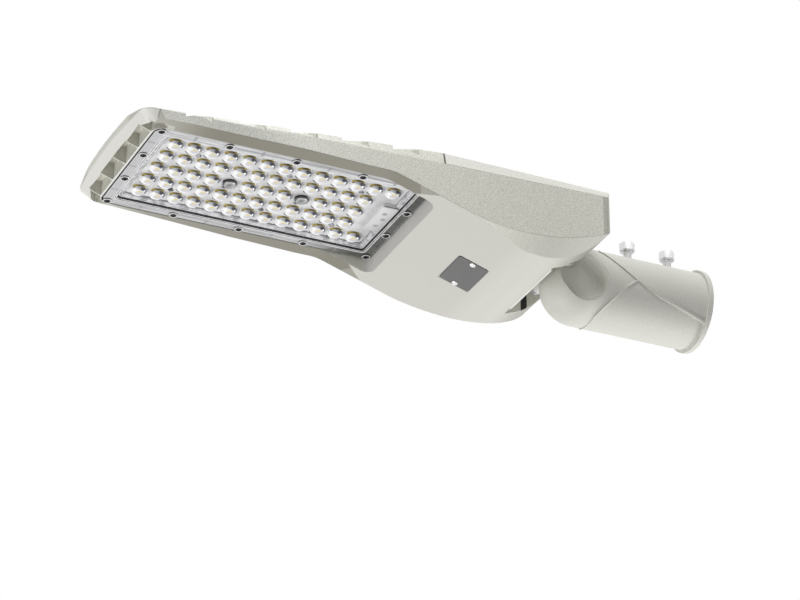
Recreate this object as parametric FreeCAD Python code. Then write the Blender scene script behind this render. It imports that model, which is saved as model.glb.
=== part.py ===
import FreeCAD, Part
import math
import os

Vec = FreeCAD.Vector
OUT = "parts"

# LED street light head on a tilting pole spigot, in millimetres.
# The origin is the middle of the spigot's mouth, +X points out of the mouth and +Z is up.
# The head is drawn in its own stations: s runs back from the first column of lenses,
# y runs across from the centre line and h is the height above the lens plate.

# Pole socket of the spigot
BORE_D = 62.0
SOCKET_WALL = 5.1
SOCKET_LEN = 117.5
BORE_DEPTH = 96.0
BEAD_OUT = 2.4
BEAD_LEN = 4.5
CABLE_WAY_R = 8.0
CABLE_WAY_RISE = 0.75
RIDGE_OUT = 0.9
RIDGE_WIDTH = 2.2

# Knuckle between spigot and head
PIVOT_FORWARD = 24.0
PIVOT_RISE = 15.8
WEB_HALF = 21.5
EAR_GAP = 0.5
EAR_THICK = 10.0
EAR_R = 10.5
POCKET_R = 20.0
POCKET_FORWARD = 8.0
POCKET_DROP = 7.5
POCKET_TURN = 43.0
POCKET_BLEND = 9.0
BOLT_D = 10.0
BOLT_AF = 17.0
BOLT_HEAD = 6.4
NUT_HEIGHT = 8.4
WASHER_D = 21.0
WASHER_T = 2.0
HOLE_GAP = 0.2
RUN_GAP = 0.06

# Clamping screws on the pole
SET_SCREW_FIRST = 25.5
SET_SCREW_PITCH = 41.0
SET_SCREW_D = 8.0
SET_SCREW_AF = 13.0
SET_SCREW_HEAD = 8.0
SET_SCREW_STAND = 13.5
SET_SCREW_BOSS_R = 7.5
SET_SCREW_BOSS_OUT = 1.2

# Outer form of the head
PIVOT_S = 384.0
PIVOT_H = -11.0
HALF_WIDTH = 86.0
FRONT_S = -47.5
SKIRT_TOP_H = 7.5
SKIRT_DEPTH = 12.0
SKIRT_SIDE_IN = 7.5
SKIRT_SIDE_S = 0.0
SKIRT_END_S = 100.0
# Points of the front corner's outline: station and distance in from the side
CORNER_TOP = ((-43.4, 12.5), (-38.6, 5.2), (-27.5, 1.4))
CORNER_LOW = ((-32.5, 19.5), (-28.9, 13.8), (-20.5, 9.1))
SEAM_S = 234.0
REAR_S = 398.0
REAR_CORNER_R = 7.0
FRONT_EDGE_S = -41.5
FRONT_EDGE_H = 1.5
FLANGE_H = -3.4
SWOOP_S = 187.0
SWOOP_SLOPE = 0.33
BOTTOM_H = -45.3
REAR_ARC_S = 333.0
REAR_EDGE_H = -13.0
SWOOP_R = 40.0
BELLY_R = 60.0
# Stations of the side rims' underside and its rise outwards per millimetre there
RIM_RISE = ((-60.0, 0.50), (0.0, 0.37), (60.0, 0.20), (165.0, 0.0))
STRIP_IN = 3.0
CROWN = 8.0
CROWN_HALF = 50.0
STRIP_LOW_H = (2.5, 11.7, 15.3, 18.9)
STRIP_TOP_H = (5.9, 17.2, 27.3, 25.5)
STATIONS = (-50.0, SKIRT_END_S, SEAM_S, REAR_S + 2.0)
CRESCENT_SLOPE = 0.70
CRESCENT_START = (247.0, -23.4)
CRESCENT_LOW = (318.0, -34.8)
CRESCENT_END = (400.0, -14.2)

# Cooling grooves across the top
GROOVE_FIRST_S = -6.5
GROOVE_PITCH = 47.95
GROOVE_COUNT = 5
GROOVE_RAMP = 24.9
GROOVE_DEPTH = 4.5
NOTCH_IN = 4.0
NOTCH_DROP = 7.0

# Front pockets
FRONT_WALL = 1.3
POCKET_BACK_WALL = 1.6
POCKET_RIB = 1.2
RIB_PITCH = 30.5
POCKET_ROOF = 2.6
CORNER_POCKET_END_S = -17.0

# Casting walls and gear compartment
WALL = 3.6
RIM_WALL = 6.5
RIM_DEPTH = 5.0
BAY_FRONT_WALL = 9.0
BAY_REAR_WALL = 7.0
COVER_WALL = 3.0
SEAM_GAP = 0.4
COVER_LIFT = 0.3
SEAL_WIDTH = 2.4
SEAL_DEPTH = 1.8
COVER_SCREW_Y = 72.0
COVER_SCREW_S = (252.0, 318.0, 384.0)
COVER_BOSS_R = 5.5
COVER_BOSS_DEPTH = 24.0
SCREW_D = 4.0
SCREW_HEAD_D = 7.0
SCREW_HEAD_H = 2.2
SCREW_GAP = 0.05
SCREW_SIDES = 8
ROUND_SIDES = 16
PASS_GAP = 0.3

# Tunnel at the rear that takes the knuckle
TUNNEL_HALF = 48.0
TUNNEL_S = 357.0
TUNNEL_TOP_H = 15.0
TUNNEL_WALL = 5.0
TUNNEL_ROOF = 3.3
LIP_OUT = 3.5
LIP_HALF = 41.0
LIP_THICK = 3.0
LIP_SINK = 1.0
CURTAIN_S = 373.4
CURTAIN_WIDTH = 6.3
CURTAIN_DEPTH = 2.5

# Light module
COLUMN_PITCH = 17.0
ROW_PITCH = 21.715
ROWS = (13, 12, 12, 12, 13)
FIXING_COLUMNS = (4, 8)
LENS_LONG = 15.2
LENS_WIDE = 15.6
LENS_SIDES = 8
LENS_DROP = 5.2
# Rings of a lens: share of its depth and of its width
LENS_RINGS = ((0.0, 1.0), (0.55, 0.88), (1.0, 0.50))
SCREW_CUP_R = 6.5
SCREW_CUP_DROP = 2.6
SHEET_H = 1.6
SHEET_T = 2.0
MODULE_FRONT_S = -26.4
MODULE_REAR_S = 232.6
MODULE_HALF = 70.4
MODULE_R = 9.0
MODULE_FIT = 0.6
FLANGE_T = 3.0
FLANGE_WIDTH = 12.0
STEP_WIDTH = 2.6
LENS_SCREW_S = (-20.6, 41.45, 103.5, 165.6, 227.0)
LENS_SCREW_Y = 65.4
END_SCREW_Y = 22.2
LENS_SEAL_T = 1.4
LENS_SEAL_W = 2.4
BOARD_T = 1.6
CHIP = 3.4
CHIP_T = 0.7
CHIP_CLEAR = 0.3
BOARD_MARGIN = 9.0
WIRE_COVER_S = 212.0
WIRE_COVER_LONG = 17.0
WIRE_COVER_WIDE = 46.0
WIRE_COVER_DROP = 4.2
WIRE_HOLE_R = 3.5

# Rating plate on the underside
PLATE_S = 293.0
PLATE_LONG = 30.0
PLATE_WIDE = 43.8
PLATE_T = 0.8
PLATE_SINK = 0.5
PLATE_SCREW_Y = 18.5
PLATE_SCREW_D = 3.0

# Gear inside the compartment
TRAY_H = -9.0
TRAY_T = 1.5
TRAY_FRONT_S = 252.0
TRAY_REAR_S = 344.0
TRAY_HALF = 64.0
TRAY_POST_S = (262.0, 338.0)
TRAY_POST_Y = 58.0
TRAY_POST_R = 4.5
DRIVER_S = 282.0
DRIVER_LONG = 132.0
DRIVER_WIDE = 50.0
DRIVER_TALL = 27.0
DRIVER_WALL_T = 1.2
TERMINAL_S = 330.0
TERMINAL_Y = -34.0
TERMINAL_WAYS = 4
TERMINAL_PITCH = 9.0
SURGE_S = 327.0
SURGE_Y = 34.0
SURGE_LONG = 28.0
SURGE_WIDE = 34.0
SURGE_TALL = 22.0
GLAND_H = -4.0
GLAND_D = 16.0
GLAND_AF = 20.0

# Places worked out from the sizes above
TUBE_R = BORE_D / 2 + SOCKET_WALL
PIVOT_X = -(SOCKET_LEN + PIVOT_FORWARD)
HEAD_SHIFT = Vec(PIVOT_X - PIVOT_S, 0, PIVOT_RISE - PIVOT_H)
EAR_IN = WEB_HALF + EAR_GAP
EAR_OUT = EAR_IN + EAR_THICK
BOARD_LOW_H = SHEET_H + SHEET_T + CHIP_CLEAR + CHIP_T
BOARD_SEAT_H = BOARD_LOW_H + BOARD_T
SEAL_SEAT_H = FLANGE_H + FLANGE_T + LENS_SEAL_T
STEP_HALF = MODULE_HALF - FLANGE_WIDTH
BELLY_S = SWOOP_S + (FLANGE_H - BOTTOM_H) / SWOOP_SLOPE
BAY_FRONT_S = SEAM_S + BAY_FRONT_WALL
BAY_REAR_S = REAR_S - BAY_REAR_WALL
TRAY_TOP_H = TRAY_H + TRAY_T


def box(s0, s1, y0, y1, h0, h1):
    return Part.makeBox(s1 - s0, y1 - y0, h1 - h0, Vec(s0, y0, h0))


def rod(radius, start, end):
    axis = end - start
    return Part.makeCylinder(radius, axis.Length, start, axis)


def peg(radius, start, end, sides=SCREW_SIDES):
    """Many-sided rod for small fasteners, which repeat, and for the holes that take them."""
    axis = end - start
    corners = [Vec(radius * math.cos(2 * math.pi * i / sides), radius * math.sin(2 * math.pi * i / sides), 0)
               for i in range(sides)]
    prism = Part.Face(Part.makePolygon(corners + [corners[0]])).extrude(Vec(0, 0, axis.Length))
    upright = FreeCAD.Rotation(Vec(0, 0, 1), axis)
    prism.Placement = FreeCAD.Placement(start, upright)
    return prism


def hexagon(across_flats, height, base, axis, turn=0.0):
    """Hexagonal prism standing on base along axis."""
    radius = across_flats / math.sqrt(3)
    corners = [Vec(radius * math.cos(math.radians(60 * i + turn)),
                   radius * math.sin(math.radians(60 * i + turn)), 0) for i in range(7)]
    prism = Part.Face(Part.makePolygon(corners)).extrude(Vec(0, 0, height))
    prism.Placement = FreeCAD.Placement(base, FreeCAD.Rotation(Vec(0, 0, 1), axis))
    return prism


def rounded_wire(corners, place):
    """Closed wire through (a, b, radius) corners; place turns (a, b) into a vector."""
    starts, ends, mids = [], [], []
    count = len(corners)
    for i in range(count):
        before, (a, b, radius), after = corners[i - 1], corners[i], corners[(i + 1) % count]
        point = Vec(a, b, 0)
        if radius <= 0:
            starts.append(point)
            ends.append(point)
            mids.append(None)
            continue
        into = (Vec(before[0], before[1], 0) - point).normalize()
        out = (Vec(after[0], after[1], 0) - point).normalize()
        half = into.getAngle(out) / 2
        centre = point + (into + out).normalize() * (radius / math.sin(half))
        starts.append(point + into * (radius / math.tan(half)))
        ends.append(point + out * (radius / math.tan(half)))
        mids.append(centre + (point - centre).normalize() * radius)
    edges = []
    for i in range(count):
        here, there = place(starts[i].x, starts[i].y), place(ends[i].x, ends[i].y)
        if mids[i] is not None:
            edges.append(Part.Arc(here, place(mids[i].x, mids[i].y), there).toShape())
        following = place(starts[(i + 1) % count].x, starts[(i + 1) % count].y)
        if (following - there).Length > 1e-6:
            edges.append(Part.makeLine(there, following))
    return Part.Wire(edges)


def side_prism(corners, y0, y1):
    """Extrude a side outline of (s, h, radius) corners across the head."""
    wire = rounded_wire(corners, lambda s, h: Vec(s, y0, h))
    return Part.Face(wire).extrude(Vec(0, y1 - y0, 0))


def plan_prism(corners, h0, h1):
    """Extrude a plan outline of (s, y, radius) corners upwards."""
    wire = rounded_wire(corners, lambda s, y: Vec(s, y, h0))
    return Part.Face(wire).extrude(Vec(0, 0, h1 - h0))


def rounded_slab(s0, s1, half, radius, h0, h1):
    return plan_prism([(s0, -half, radius), (s1, -half, radius),
                       (s1, half, radius), (s0, half, radius)], h0, h1)


def along(values, s):
    """Value at station s of a line drawn through the four form stations."""
    for i in range(len(STATIONS) - 1):
        if s <= STATIONS[i + 1] or i == len(STATIONS) - 2:
            part = (s - STATIONS[i]) / (STATIONS[i + 1] - STATIONS[i])
            return values[i] + part * (values[i + 1] - values[i])


def top_section(s, drop, base):
    """Cross-section at station s: side strips, crowned top, lowered by drop."""
    low, top = along(STRIP_LOW_H, s), along(STRIP_TOP_H, s)
    wide = HALF_WIDTH
    over = STRIP_IN + 1.0
    outer_h = low - (top - low) / STRIP_IN * over
    right = [(wide + over, base), (wide + over, outer_h - drop),
             (wide - STRIP_IN, top - drop), (CROWN_HALF, top + CROWN - drop)]
    points = [Vec(s, y, h) for y, h in right]
    points += [Vec(s, -y, h) for y, h in reversed(right)]
    return Part.makePolygon(points + [points[0]])


def top_height(s, y):
    """Height of the crowned top at station s and distance y from the centre line."""
    edge = HALF_WIDTH - STRIP_IN
    part = min(1.0, max(0.0, (edge - y) / (edge - CROWN_HALF)))
    return along(STRIP_TOP_H, s) + CROWN * part


def above_section(s, drop):
    """Cross-section of the air above a groove floor at station s."""
    top = along(STRIP_TOP_H, s)
    wide = HALF_WIDTH
    right = [(wide + 12, 70), (wide + 12, top - drop),
             (wide - STRIP_IN, top - drop), (CROWN_HALF, top + CROWN - drop)]
    points = [Vec(s, y, h) for y, h in right]
    points += [Vec(s, -y, h) for y, h in reversed(right)]
    return Part.makePolygon(points + [points[0]])


def loft(sections):
    return Part.makeLoft(sections, True, True)


def rear_arc(offset):
    """Edges of the lower rear curve, moved inwards by offset, from belly to rear edge."""
    rise, run = REAR_EDGE_H - BOTTOM_H, REAR_S - REAR_ARC_S
    radius = (run * run + rise * rise) / (2 * rise)
    centre = Vec(REAR_ARC_S, 0, BOTTOM_H + radius)
    inner = radius - offset
    sweep = math.asin(run / radius)
    spots = [centre + Vec(inner * math.sin(a), 0, -inner * math.cos(a)) for a in (0, sweep / 2, sweep)]
    return spots


def side_form(offset):
    """Side outline of the head, extruded across; offset moves the underside inwards."""
    start, middle, end = rear_arc(offset)
    wide = HALF_WIDTH + 10
    front = FRONT_S - 3
    crest_s = MODULE_FRONT_S - MODULE_FIT - 1.0
    rise = (FRONT_EDGE_H - FLANGE_H) / (crest_s - FRONT_EDGE_S)
    lower = [(front, FRONT_EDGE_H + rise * (FRONT_EDGE_S - front), 0), (crest_s, FLANGE_H, 0),
             (SWOOP_S, FLANGE_H + offset, SWOOP_R), (BELLY_S, BOTTOM_H + offset, BELLY_R)]
    if offset:
        lower = [(front, FLANGE_H + offset, 0)] + lower[2:]
    corners = lower + [(start.x, start.z, 0), (end.x, end.z, 0), (REAR_S + 3, end.z, 0), (REAR_S + 3, 70, 0),
                       (front, 70, 0)]
    body = side_prism(corners, -wide, wide)
    bulge = Part.Face(Part.Wire([Part.Arc(Vec(start.x, -wide, start.z), Vec(middle.x, -wide, middle.z),
                                          Vec(end.x, -wide, end.z)).toShape(),
                                 Part.makeLine(Vec(end.x, -wide, end.z), Vec(start.x, -wide, start.z))]))
    return body.fuse(bulge.extrude(Vec(0, 2 * wide, 0))).removeSplitter()


def outline_wire(h, front_s, corner, side_in):
    """Plan outline at height h: bowed front, round front corners and straight sides."""
    r = REAR_CORNER_R
    mid = r * (1 - math.sqrt(0.5))
    wide = HALF_WIDTH

    def at(s, y):
        return Vec(s, y, h)

    start, middle, end = [at(s, wide - inset) for s, inset in corner]
    side = at(SKIRT_SIDE_S, wide - side_in)
    right = [Part.Arc(start, middle, end).toShape(), Part.makeLine(end, side),
             Part.makeLine(side, at(SKIRT_END_S, wide)),
             Part.makeLine(at(SKIRT_END_S, wide), at(REAR_S - r, wide)),
             Part.Arc(at(REAR_S - r, wide), at(REAR_S - mid, wide - mid), at(REAR_S, wide - r)).toShape()]
    left = [edge.mirror(Vec(0, 0, 0), Vec(0, 1, 0)) for edge in right]
    front = Part.Arc(at(start.x, -start.y), at(front_s, 0), start).toShape()
    rear = Part.makeLine(at(REAR_S, wide - r), at(REAR_S, r - wide))
    return Part.Wire(Part.__sortEdges__([front] + right + [rear] + left))


def plan_form():
    """Room inside the plan outline; the skirt leans outwards at the front and front sides."""
    low_h = SKIRT_TOP_H - SKIRT_DEPTH
    upper = outline_wire(SKIRT_TOP_H, FRONT_S, CORNER_TOP, 0.0)
    lower = outline_wire(low_h, FRONT_S + SKIRT_DEPTH, CORNER_LOW, SKIRT_SIDE_IN)
    above = Part.Face(upper).extrude(Vec(0, 0, 70))
    below = Part.Face(lower).extrude(Vec(0, 0, -70))
    return loft([lower, upper]).fuse([above, below])


def crescent(lift):
    """Air under the two slanted crescent facets low on the rear sides."""
    pieces = []
    for side in (1, -1):
        wide, reach = HALF_WIDTH + 10, 60.0
        rise = 10 * CRESCENT_SLOPE + lift

        def at(point):
            return Vec(point[0], side * wide, point[1] + rise)

        (s0, h0), (s2, h2) = CRESCENT_START, CRESCENT_END
        arc = Part.Arc(at((s0, h0)), at(CRESCENT_LOW), at((s2, h2))).toShape()
        route = [at(point) for point in ((s2, h2), (s2 + 5, h2), (s2 + 5, -110), (s0, -110), (s0, h0))]
        face = Part.Face(Part.Wire([arc] + Part.makePolygon(route).Edges))
        pieces.append(face.extrude(Vec(0, -side * reach, -reach * CRESCENT_SLOPE)))
    return pieces[0].fuse(pieces[1])


def rim_lift_cut():
    """Air under the side rims, which rise outwards towards the front."""
    inner = MODULE_HALF + MODULE_FIT
    outer = HALF_WIDTH + 8
    pieces = []
    for side in (1, -1):
        sections = []
        for s, rise in RIM_RISE:
            outline = [(inner, FLANGE_H), (outer, FLANGE_H + 0.02 + rise * (outer - inner)),
                       (outer, -60), (inner, -60)]
            points = [Vec(s, side * y, h) for y, h in outline]
            sections.append(Part.makePolygon(points + [points[0]]))
        pieces.append(loft(sections))
    return pieces[0].fuse(pieces[1])


def split_slab(below, above, s0=SEAM_S, s1=REAR_S + 5):
    """Slab along the joint between housing and cover, in heights below and above it."""
    h0, h1 = along(STRIP_LOW_H, s0), along(STRIP_LOW_H, s1)
    return side_prism([(s0, h0 - below, 0), (s1, h1 - below, 0), (s1, h1 + above, 0), (s0, h0 + above, 0)],
                      -HALF_WIDTH - 10, HALF_WIDTH + 10)


def seal_ring(extra):
    """Upright ring that follows the cover's seal, extra wider on both faces."""
    s0 = SEAM_S + BAY_FRONT_WALL / 2
    s1 = REAR_S - BAY_REAR_WALL / 2
    middle = HALF_WIDTH - RIM_WALL / 2
    half = SEAL_WIDTH / 2 + extra
    outer = rounded_slab(s0 - half, s1 + half, middle + half, 5 + half, -10, 60)
    return outer.cut(rounded_slab(s0 + half, s1 - half, middle - half, 5 - half, -11, 61))


def pattern(points, make):
    """Compound of make(point) at every point."""
    return Part.makeCompound([make(point) for point in points])


def lens_spots():
    """Middles of the lenses; the middle row gives two places to the fixing screws."""
    spots = []
    for row, columns in enumerate(ROWS):
        for column in range(columns):
            if row == 2 and column in FIXING_COLUMNS:
                continue
            spots.append((column * COLUMN_PITCH, (row - 2) * ROW_PITCH))
    return spots


def lens_screw_spots():
    spots = [(s, side * LENS_SCREW_Y) for s in LENS_SCREW_S for side in (-1, 1)]
    spots += [(s, side * END_SCREW_Y) for s in (LENS_SCREW_S[0], LENS_SCREW_S[-1]) for side in (-1, 1)]
    return spots


def cover_screw_spots():
    return [(s, side * COVER_SCREW_Y) for s in COVER_SCREW_S for side in (-1, 1)]


def tray_post_spots():
    return [(s, side * TRAY_POST_Y) for s in TRAY_POST_S for side in (-1, 1)]


def whole_form():
    """Outer form of housing and cover together."""
    body = loft([top_section(s, 0, -80) for s in STATIONS])
    body = body.common(side_form(0)).common(plan_form())
    return body.cut(crescent(0)).cut(rim_lift_cut())


def groove_cuts():
    """Sawtooth cooling grooves across the top, with slanted notches at the sides."""
    cuts = []
    for i in range(GROOVE_COUNT):
        s0 = GROOVE_FIRST_S + i * GROOVE_PITCH
        s1 = s0 + GROOVE_RAMP
        cuts.append(loft([above_section(s0, GROOVE_DEPTH), above_section(s1, 0.0)]))
        top = along(STRIP_TOP_H, s1)
        for side in (1, -1):
            wide = HALF_WIDTH + 2
            plan = plan_prism([(s0 + 4, side * wide, 0), (s1, side * (wide - 2 - NOTCH_IN), 0),
                               (s1, side * wide, 0)], -20, 60)
            face = side_prism([(s0 + 4, top + 8, 0), (s0 + 4, top - 1.5, 0), (s1, top - NOTCH_DROP, 0),
                               (s1, top + 8, 0)], -HALF_WIDTH - 9, HALF_WIDTH + 9)
            cuts.append(plan.common(face))
    return cuts


def front_pockets():
    """Deep pockets behind the front wall, between thin ribs, and one round each corner."""
    back = MODULE_FRONT_S - MODULE_FIT - POCKET_BACK_WALL
    inner = 2 * RIB_PITCH + POCKET_RIB / 2
    cells = []
    for i in range(-2, 2):
        y0 = i * RIB_PITCH + POCKET_RIB / 2
        y1 = (i + 1) * RIB_PITCH - POCKET_RIB / 2
        front = FRONT_EDGE_S + FRONT_WALL + (0.9 if i in (-2, 1) else 0.0)
        edge_y = max(abs(y0), abs(y1))
        roof = top_height(back, edge_y) - POCKET_ROOF
        front_roof = top_height(front, edge_y) - POCKET_ROOF
        cells.append(side_prism([(front, -20, 0), (front, front_roof, 0), (back, roof, 0), (back, -20, 0)],
                                y0, y1))
    roof = top_height(back, inner) - POCKET_ROOF
    s_end = CORNER_POCKET_END_S
    for side in (1, -1):
        spots = [(FRONT_EDGE_S + FRONT_WALL + 2.2, inner), (back, inner), (back + 1.4, MODULE_HALF - 4.0),
                 (MODULE_FRONT_S + 2.6, MODULE_HALF - 0.2), (s_end, MODULE_HALF + 2.2),
                 (s_end, HALF_WIDTH - 9.4), (-32.6, HALF_WIDTH - 12.2)]
        plan = plan_prism([(s, side * y, 0) for s, y in spots], -20, 20)
        slope = side_prism([(FRONT_EDGE_S, -20, 0), (FRONT_EDGE_S, roof, 0), (back, roof - 1.0, 0),
                            (s_end, FLANGE_H, 0), (s_end, -20, 0)], -HALF_WIDTH, HALF_WIDTH)
        cells.append(plan.common(slope))
    return cells


def module_recess():
    """Seat of the light module: flange step, then the deeper seat of the LED board."""
    fit = MODULE_FIT
    flange = rounded_slab(MODULE_FRONT_S - fit, MODULE_REAR_S + fit, MODULE_HALF + fit, MODULE_R + fit,
                          -60, SEAL_SEAT_H)
    step = MODULE_HALF - STEP_HALF
    deep = rounded_slab(MODULE_FRONT_S + step - fit, MODULE_REAR_S - step + fit, STEP_HALF + fit, 6.0,
                        -61, BOARD_SEAT_H)
    return flange.fuse(deep)


def bay_void(form):
    """Hollow of the gear compartment, open at the top."""
    upper = box(BAY_FRONT_S, BAY_REAR_S, RIM_WALL - HALF_WIDTH, HALF_WIDTH - RIM_WALL, -80, 60)
    lower = box(BAY_FRONT_S, REAR_S - WALL, WALL - HALF_WIDTH, HALF_WIDTH - WALL, -80, 60)
    lower = lower.cut(split_slab(RIM_DEPTH, 80))
    void = upper.fuse(lower).common(side_form(WALL))
    return void.cut(crescent(WALL / math.cos(math.atan(CRESCENT_SLOPE))))


def tunnel_void():
    return box(TUNNEL_S, REAR_S + 10, -TUNNEL_HALF, TUNNEL_HALF, -80, TUNNEL_TOP_H)


def ears():
    """The two lugs of the casting that straddle the spigot's web."""
    shape = None
    for y0 in (EAR_IN, -EAR_OUT):
        arm = box(PIVOT_S - EAR_R, PIVOT_S + EAR_R / 2, y0, y0 + EAR_THICK, PIVOT_H, TUNNEL_TOP_H + 1)
        eye = rod(EAR_R, Vec(PIVOT_S, y0, PIVOT_H), Vec(PIVOT_S, y0 + EAR_THICK, PIVOT_H))
        ear = arm.fuse(eye)
        shape = ear if shape is None else shape.fuse(ear)
    return shape


def curtain_slot(y_gap, s_gap):
    """Upright slot in each tunnel wall, or the strip in it when the gaps are negative."""
    strips = []
    for side in (1, -1):
        y0 = side * (TUNNEL_HALF - 0.2 * (y_gap < 0) * -1)
        y1 = side * (TUNNEL_HALF + CURTAIN_DEPTH)
        strips.append(box(CURTAIN_S - s_gap, CURTAIN_S + CURTAIN_WIDTH + s_gap, min(y0, y1), max(y0, y1),
                          -80, TUNNEL_TOP_H - 4 + s_gap))
    return strips[0].fuse(strips[1])


def screw_holes():
    """Tapped holes of the lens, cover, tray and board screws."""
    radius = SCREW_D / 2 + SCREW_GAP
    holes = [peg(radius, Vec(s, y, -30), Vec(s, y, SEAL_SEAT_H + 5.2)) for s, y in lens_screw_spots()]
    for s, y in cover_screw_spots():
        top = along(STRIP_LOW_H, s)
        holes.append(peg(radius, Vec(s, y, top - 16), Vec(s, y, top + 5)))
    holes += [peg(radius, Vec(s, y, TRAY_H - 8), Vec(s, y, TRAY_H + 5)) for s, y in tray_post_spots()]
    for column in FIXING_COLUMNS:
        s = column * COLUMN_PITCH
        holes.append(peg(radius, Vec(s, 0, 0), Vec(s, 0, BOARD_SEAT_H + 3.6)))
    return holes


def passage_holes():
    """Ways through the walls for the LED leads, the gland and the pivot bolt."""
    wire_h = BOARD_SEAT_H - 0.6
    far = EAR_OUT + 1
    lead = peg(WIRE_HOLE_R, Vec(MODULE_REAR_S - 15, 0, wire_h), Vec(BAY_FRONT_S + 1, 0, wire_h))
    bolt = rod(BOLT_D / 2 + HOLE_GAP, Vec(PIVOT_S, -far, PIVOT_H), Vec(PIVOT_S, far, PIVOT_H))
    gland_start, gland_end = Vec(TUNNEL_S - 10, 0, GLAND_H), Vec(TUNNEL_S + 1, 0, GLAND_H)
    gland = peg(GLAND_D / 2 + HOLE_GAP, gland_start, gland_end, ROUND_SIDES)
    return [lead, bolt, gland]


def plate_seat():
    """Shallow seat of the rating plate, with its two screw holes."""
    seat = [plate_block(PLATE_LONG + 0.6, PLATE_WIDE + 0.6, -PLATE_SINK, 4.0)]
    for side in (1, -1):
        seat.append(plate_rod(side * PLATE_SCREW_Y, PLATE_SCREW_D / 2 + SCREW_GAP, -PLATE_SINK - 2.6, 2.0))
    return seat


def main_housing(form):
    """Cast housing: heat sink over the LED board, gear compartment and knuckle tunnel."""
    shape = form.cut([split_slab(0, 80)] + groove_cuts() + [module_recess()] + front_pockets())
    tunnel = box(TUNNEL_S - WALL, REAR_S + 5, -TUNNEL_HALF - TUNNEL_WALL, TUNNEL_HALF + TUNNEL_WALL,
                 -80, TUNNEL_TOP_H + TUNNEL_ROOF)
    posts = [cover_boss(spot) for spot in cover_screw_spots()]
    posts += [tray_post(spot) for spot in tray_post_spots()]
    void = bay_void(form).cut([tunnel] + posts)
    lip = box(TUNNEL_S, TUNNEL_S + LIP_OUT, -LIP_HALF, LIP_HALF, -80, TUNNEL_TOP_H)
    lip = lip.common(side_form(LIP_SINK)).cut(side_form(LIP_SINK + LIP_THICK))
    opening = tunnel_void().cut(lip)
    shape = shape.cut([void, opening]).fuse(ears()).removeSplitter()
    seal_groove = seal_ring(SCREW_GAP).common(split_slab(SEAL_DEPTH, 30))
    return shape.cut([curtain_slot(0, 0), seal_groove] + screw_holes() + passage_holes() + plate_seat())


def cover_boss(spot):
    s, y = spot
    side = 1 if y > 0 else -1
    top = along(STRIP_LOW_H, s) + 2
    post = peg(COVER_BOSS_R, Vec(s, y, top - COVER_BOSS_DEPTH), Vec(s, y, top))
    y0, y1 = sorted((y, side * (HALF_WIDTH - 1)))
    web = box(s - 2.5, s + 2.5, y0, y1, top - COVER_BOSS_DEPTH, top)
    return post.fuse(web)


def tray_post(spot):
    s, y = spot
    return peg(TRAY_POST_R, Vec(s, y, TRAY_H - 60), Vec(s, y, TRAY_H))


def slope_frame():
    """Point and direction of the sloping underside at the rating plate."""
    h = FLANGE_H - SWOOP_SLOPE * (PLATE_S - SWOOP_S)
    return Vec(PLATE_S, 0, h), math.degrees(math.atan(SWOOP_SLOPE))


def on_slope(shape):
    """Turn a shape drawn about the origin, +Z up, onto the sloping underside."""
    point, angle = slope_frame()
    shape.rotate(Vec(0, 0, 0), Vec(0, 1, 0), angle)
    shape.translate(point)
    return shape


def plate_block(long, wide, top_out, height):
    """Flat block under the slope; top_out is how far its inner face lies outside the slope."""
    return on_slope(Part.makeBox(long, wide, height, Vec(-long / 2, -wide / 2, -top_out - height)))


def plate_rod(y, radius, top_out, height_out):
    """Rod at y square to the slope, from top_out inside it to height_out outside it."""
    return on_slope(peg(radius, Vec(0, y, -height_out), Vec(0, y, -top_out)))


def top_cover(form):
    """Cover of the gear compartment, with screw posts inside."""
    slab = split_slab(-COVER_LIFT, 80, SEAM_S + SEAM_GAP)
    roof = loft([top_section(s, COVER_WALL, -80) for s in (SEAM_S, REAR_S + 2)])
    hollow = roof.common(box(BAY_FRONT_S, BAY_REAR_S, RIM_WALL - HALF_WIDTH, HALF_WIDTH - RIM_WALL, -80, 60))
    cuts = [hollow.cut([cover_post(spot) for spot in cover_screw_spots()])]
    for s, y in cover_screw_spots():
        cuts.append(peg(SCREW_D / 2 + PASS_GAP, Vec(s, y, 0), Vec(s, y, 60)))
        cuts.append(peg(SCREW_HEAD_D / 2 + 0.5, Vec(s, y, cover_seat(s)), Vec(s, y, 60)))
    return form.common(slab).cut(cuts)


def cover_post(spot):
    s, y = spot
    low = along(STRIP_LOW_H, s)
    return peg(COVER_BOSS_R, Vec(s, y, low), Vec(s, y, low + 60))


def cover_seat(s):
    """Height of the seats of the cover's screw heads at station s."""
    return along(STRIP_TOP_H, s) - 1.2


def cover_gasket():
    return seal_ring(0).common(split_slab(SEAL_DEPTH, COVER_LIFT))


def screw(spot, seat, tip):
    """Round-head screw at spot; its head lies on seat, away from its tip."""
    s, y = spot
    out = 1 if seat > tip else -1
    shank = peg(SCREW_D / 2, Vec(s, y, min(seat, tip)), Vec(s, y, max(seat, tip)))
    low, high = sorted((seat, seat + out * SCREW_HEAD_H))
    return shank.fuse(peg(SCREW_HEAD_D / 2, Vec(s, y, low), Vec(s, y, high))).removeSplitter()


def stepped_solid(rings):
    """Solid between polygon rings of equal count, with flat sides and ends."""
    faces = [Part.Face(Part.makePolygon(rings[0] + [rings[0][0]])),
             Part.Face(Part.makePolygon(rings[-1] + [rings[-1][0]]))]
    count = len(rings[0])
    for low, high in zip(rings, rings[1:]):
        for i in range(count):
            j = (i + 1) % count
            faces.append(Part.Face(Part.makePolygon([low[i], low[j], high[j], high[i], low[i]])))
    return Part.Solid(Part.Shell(faces))


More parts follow.
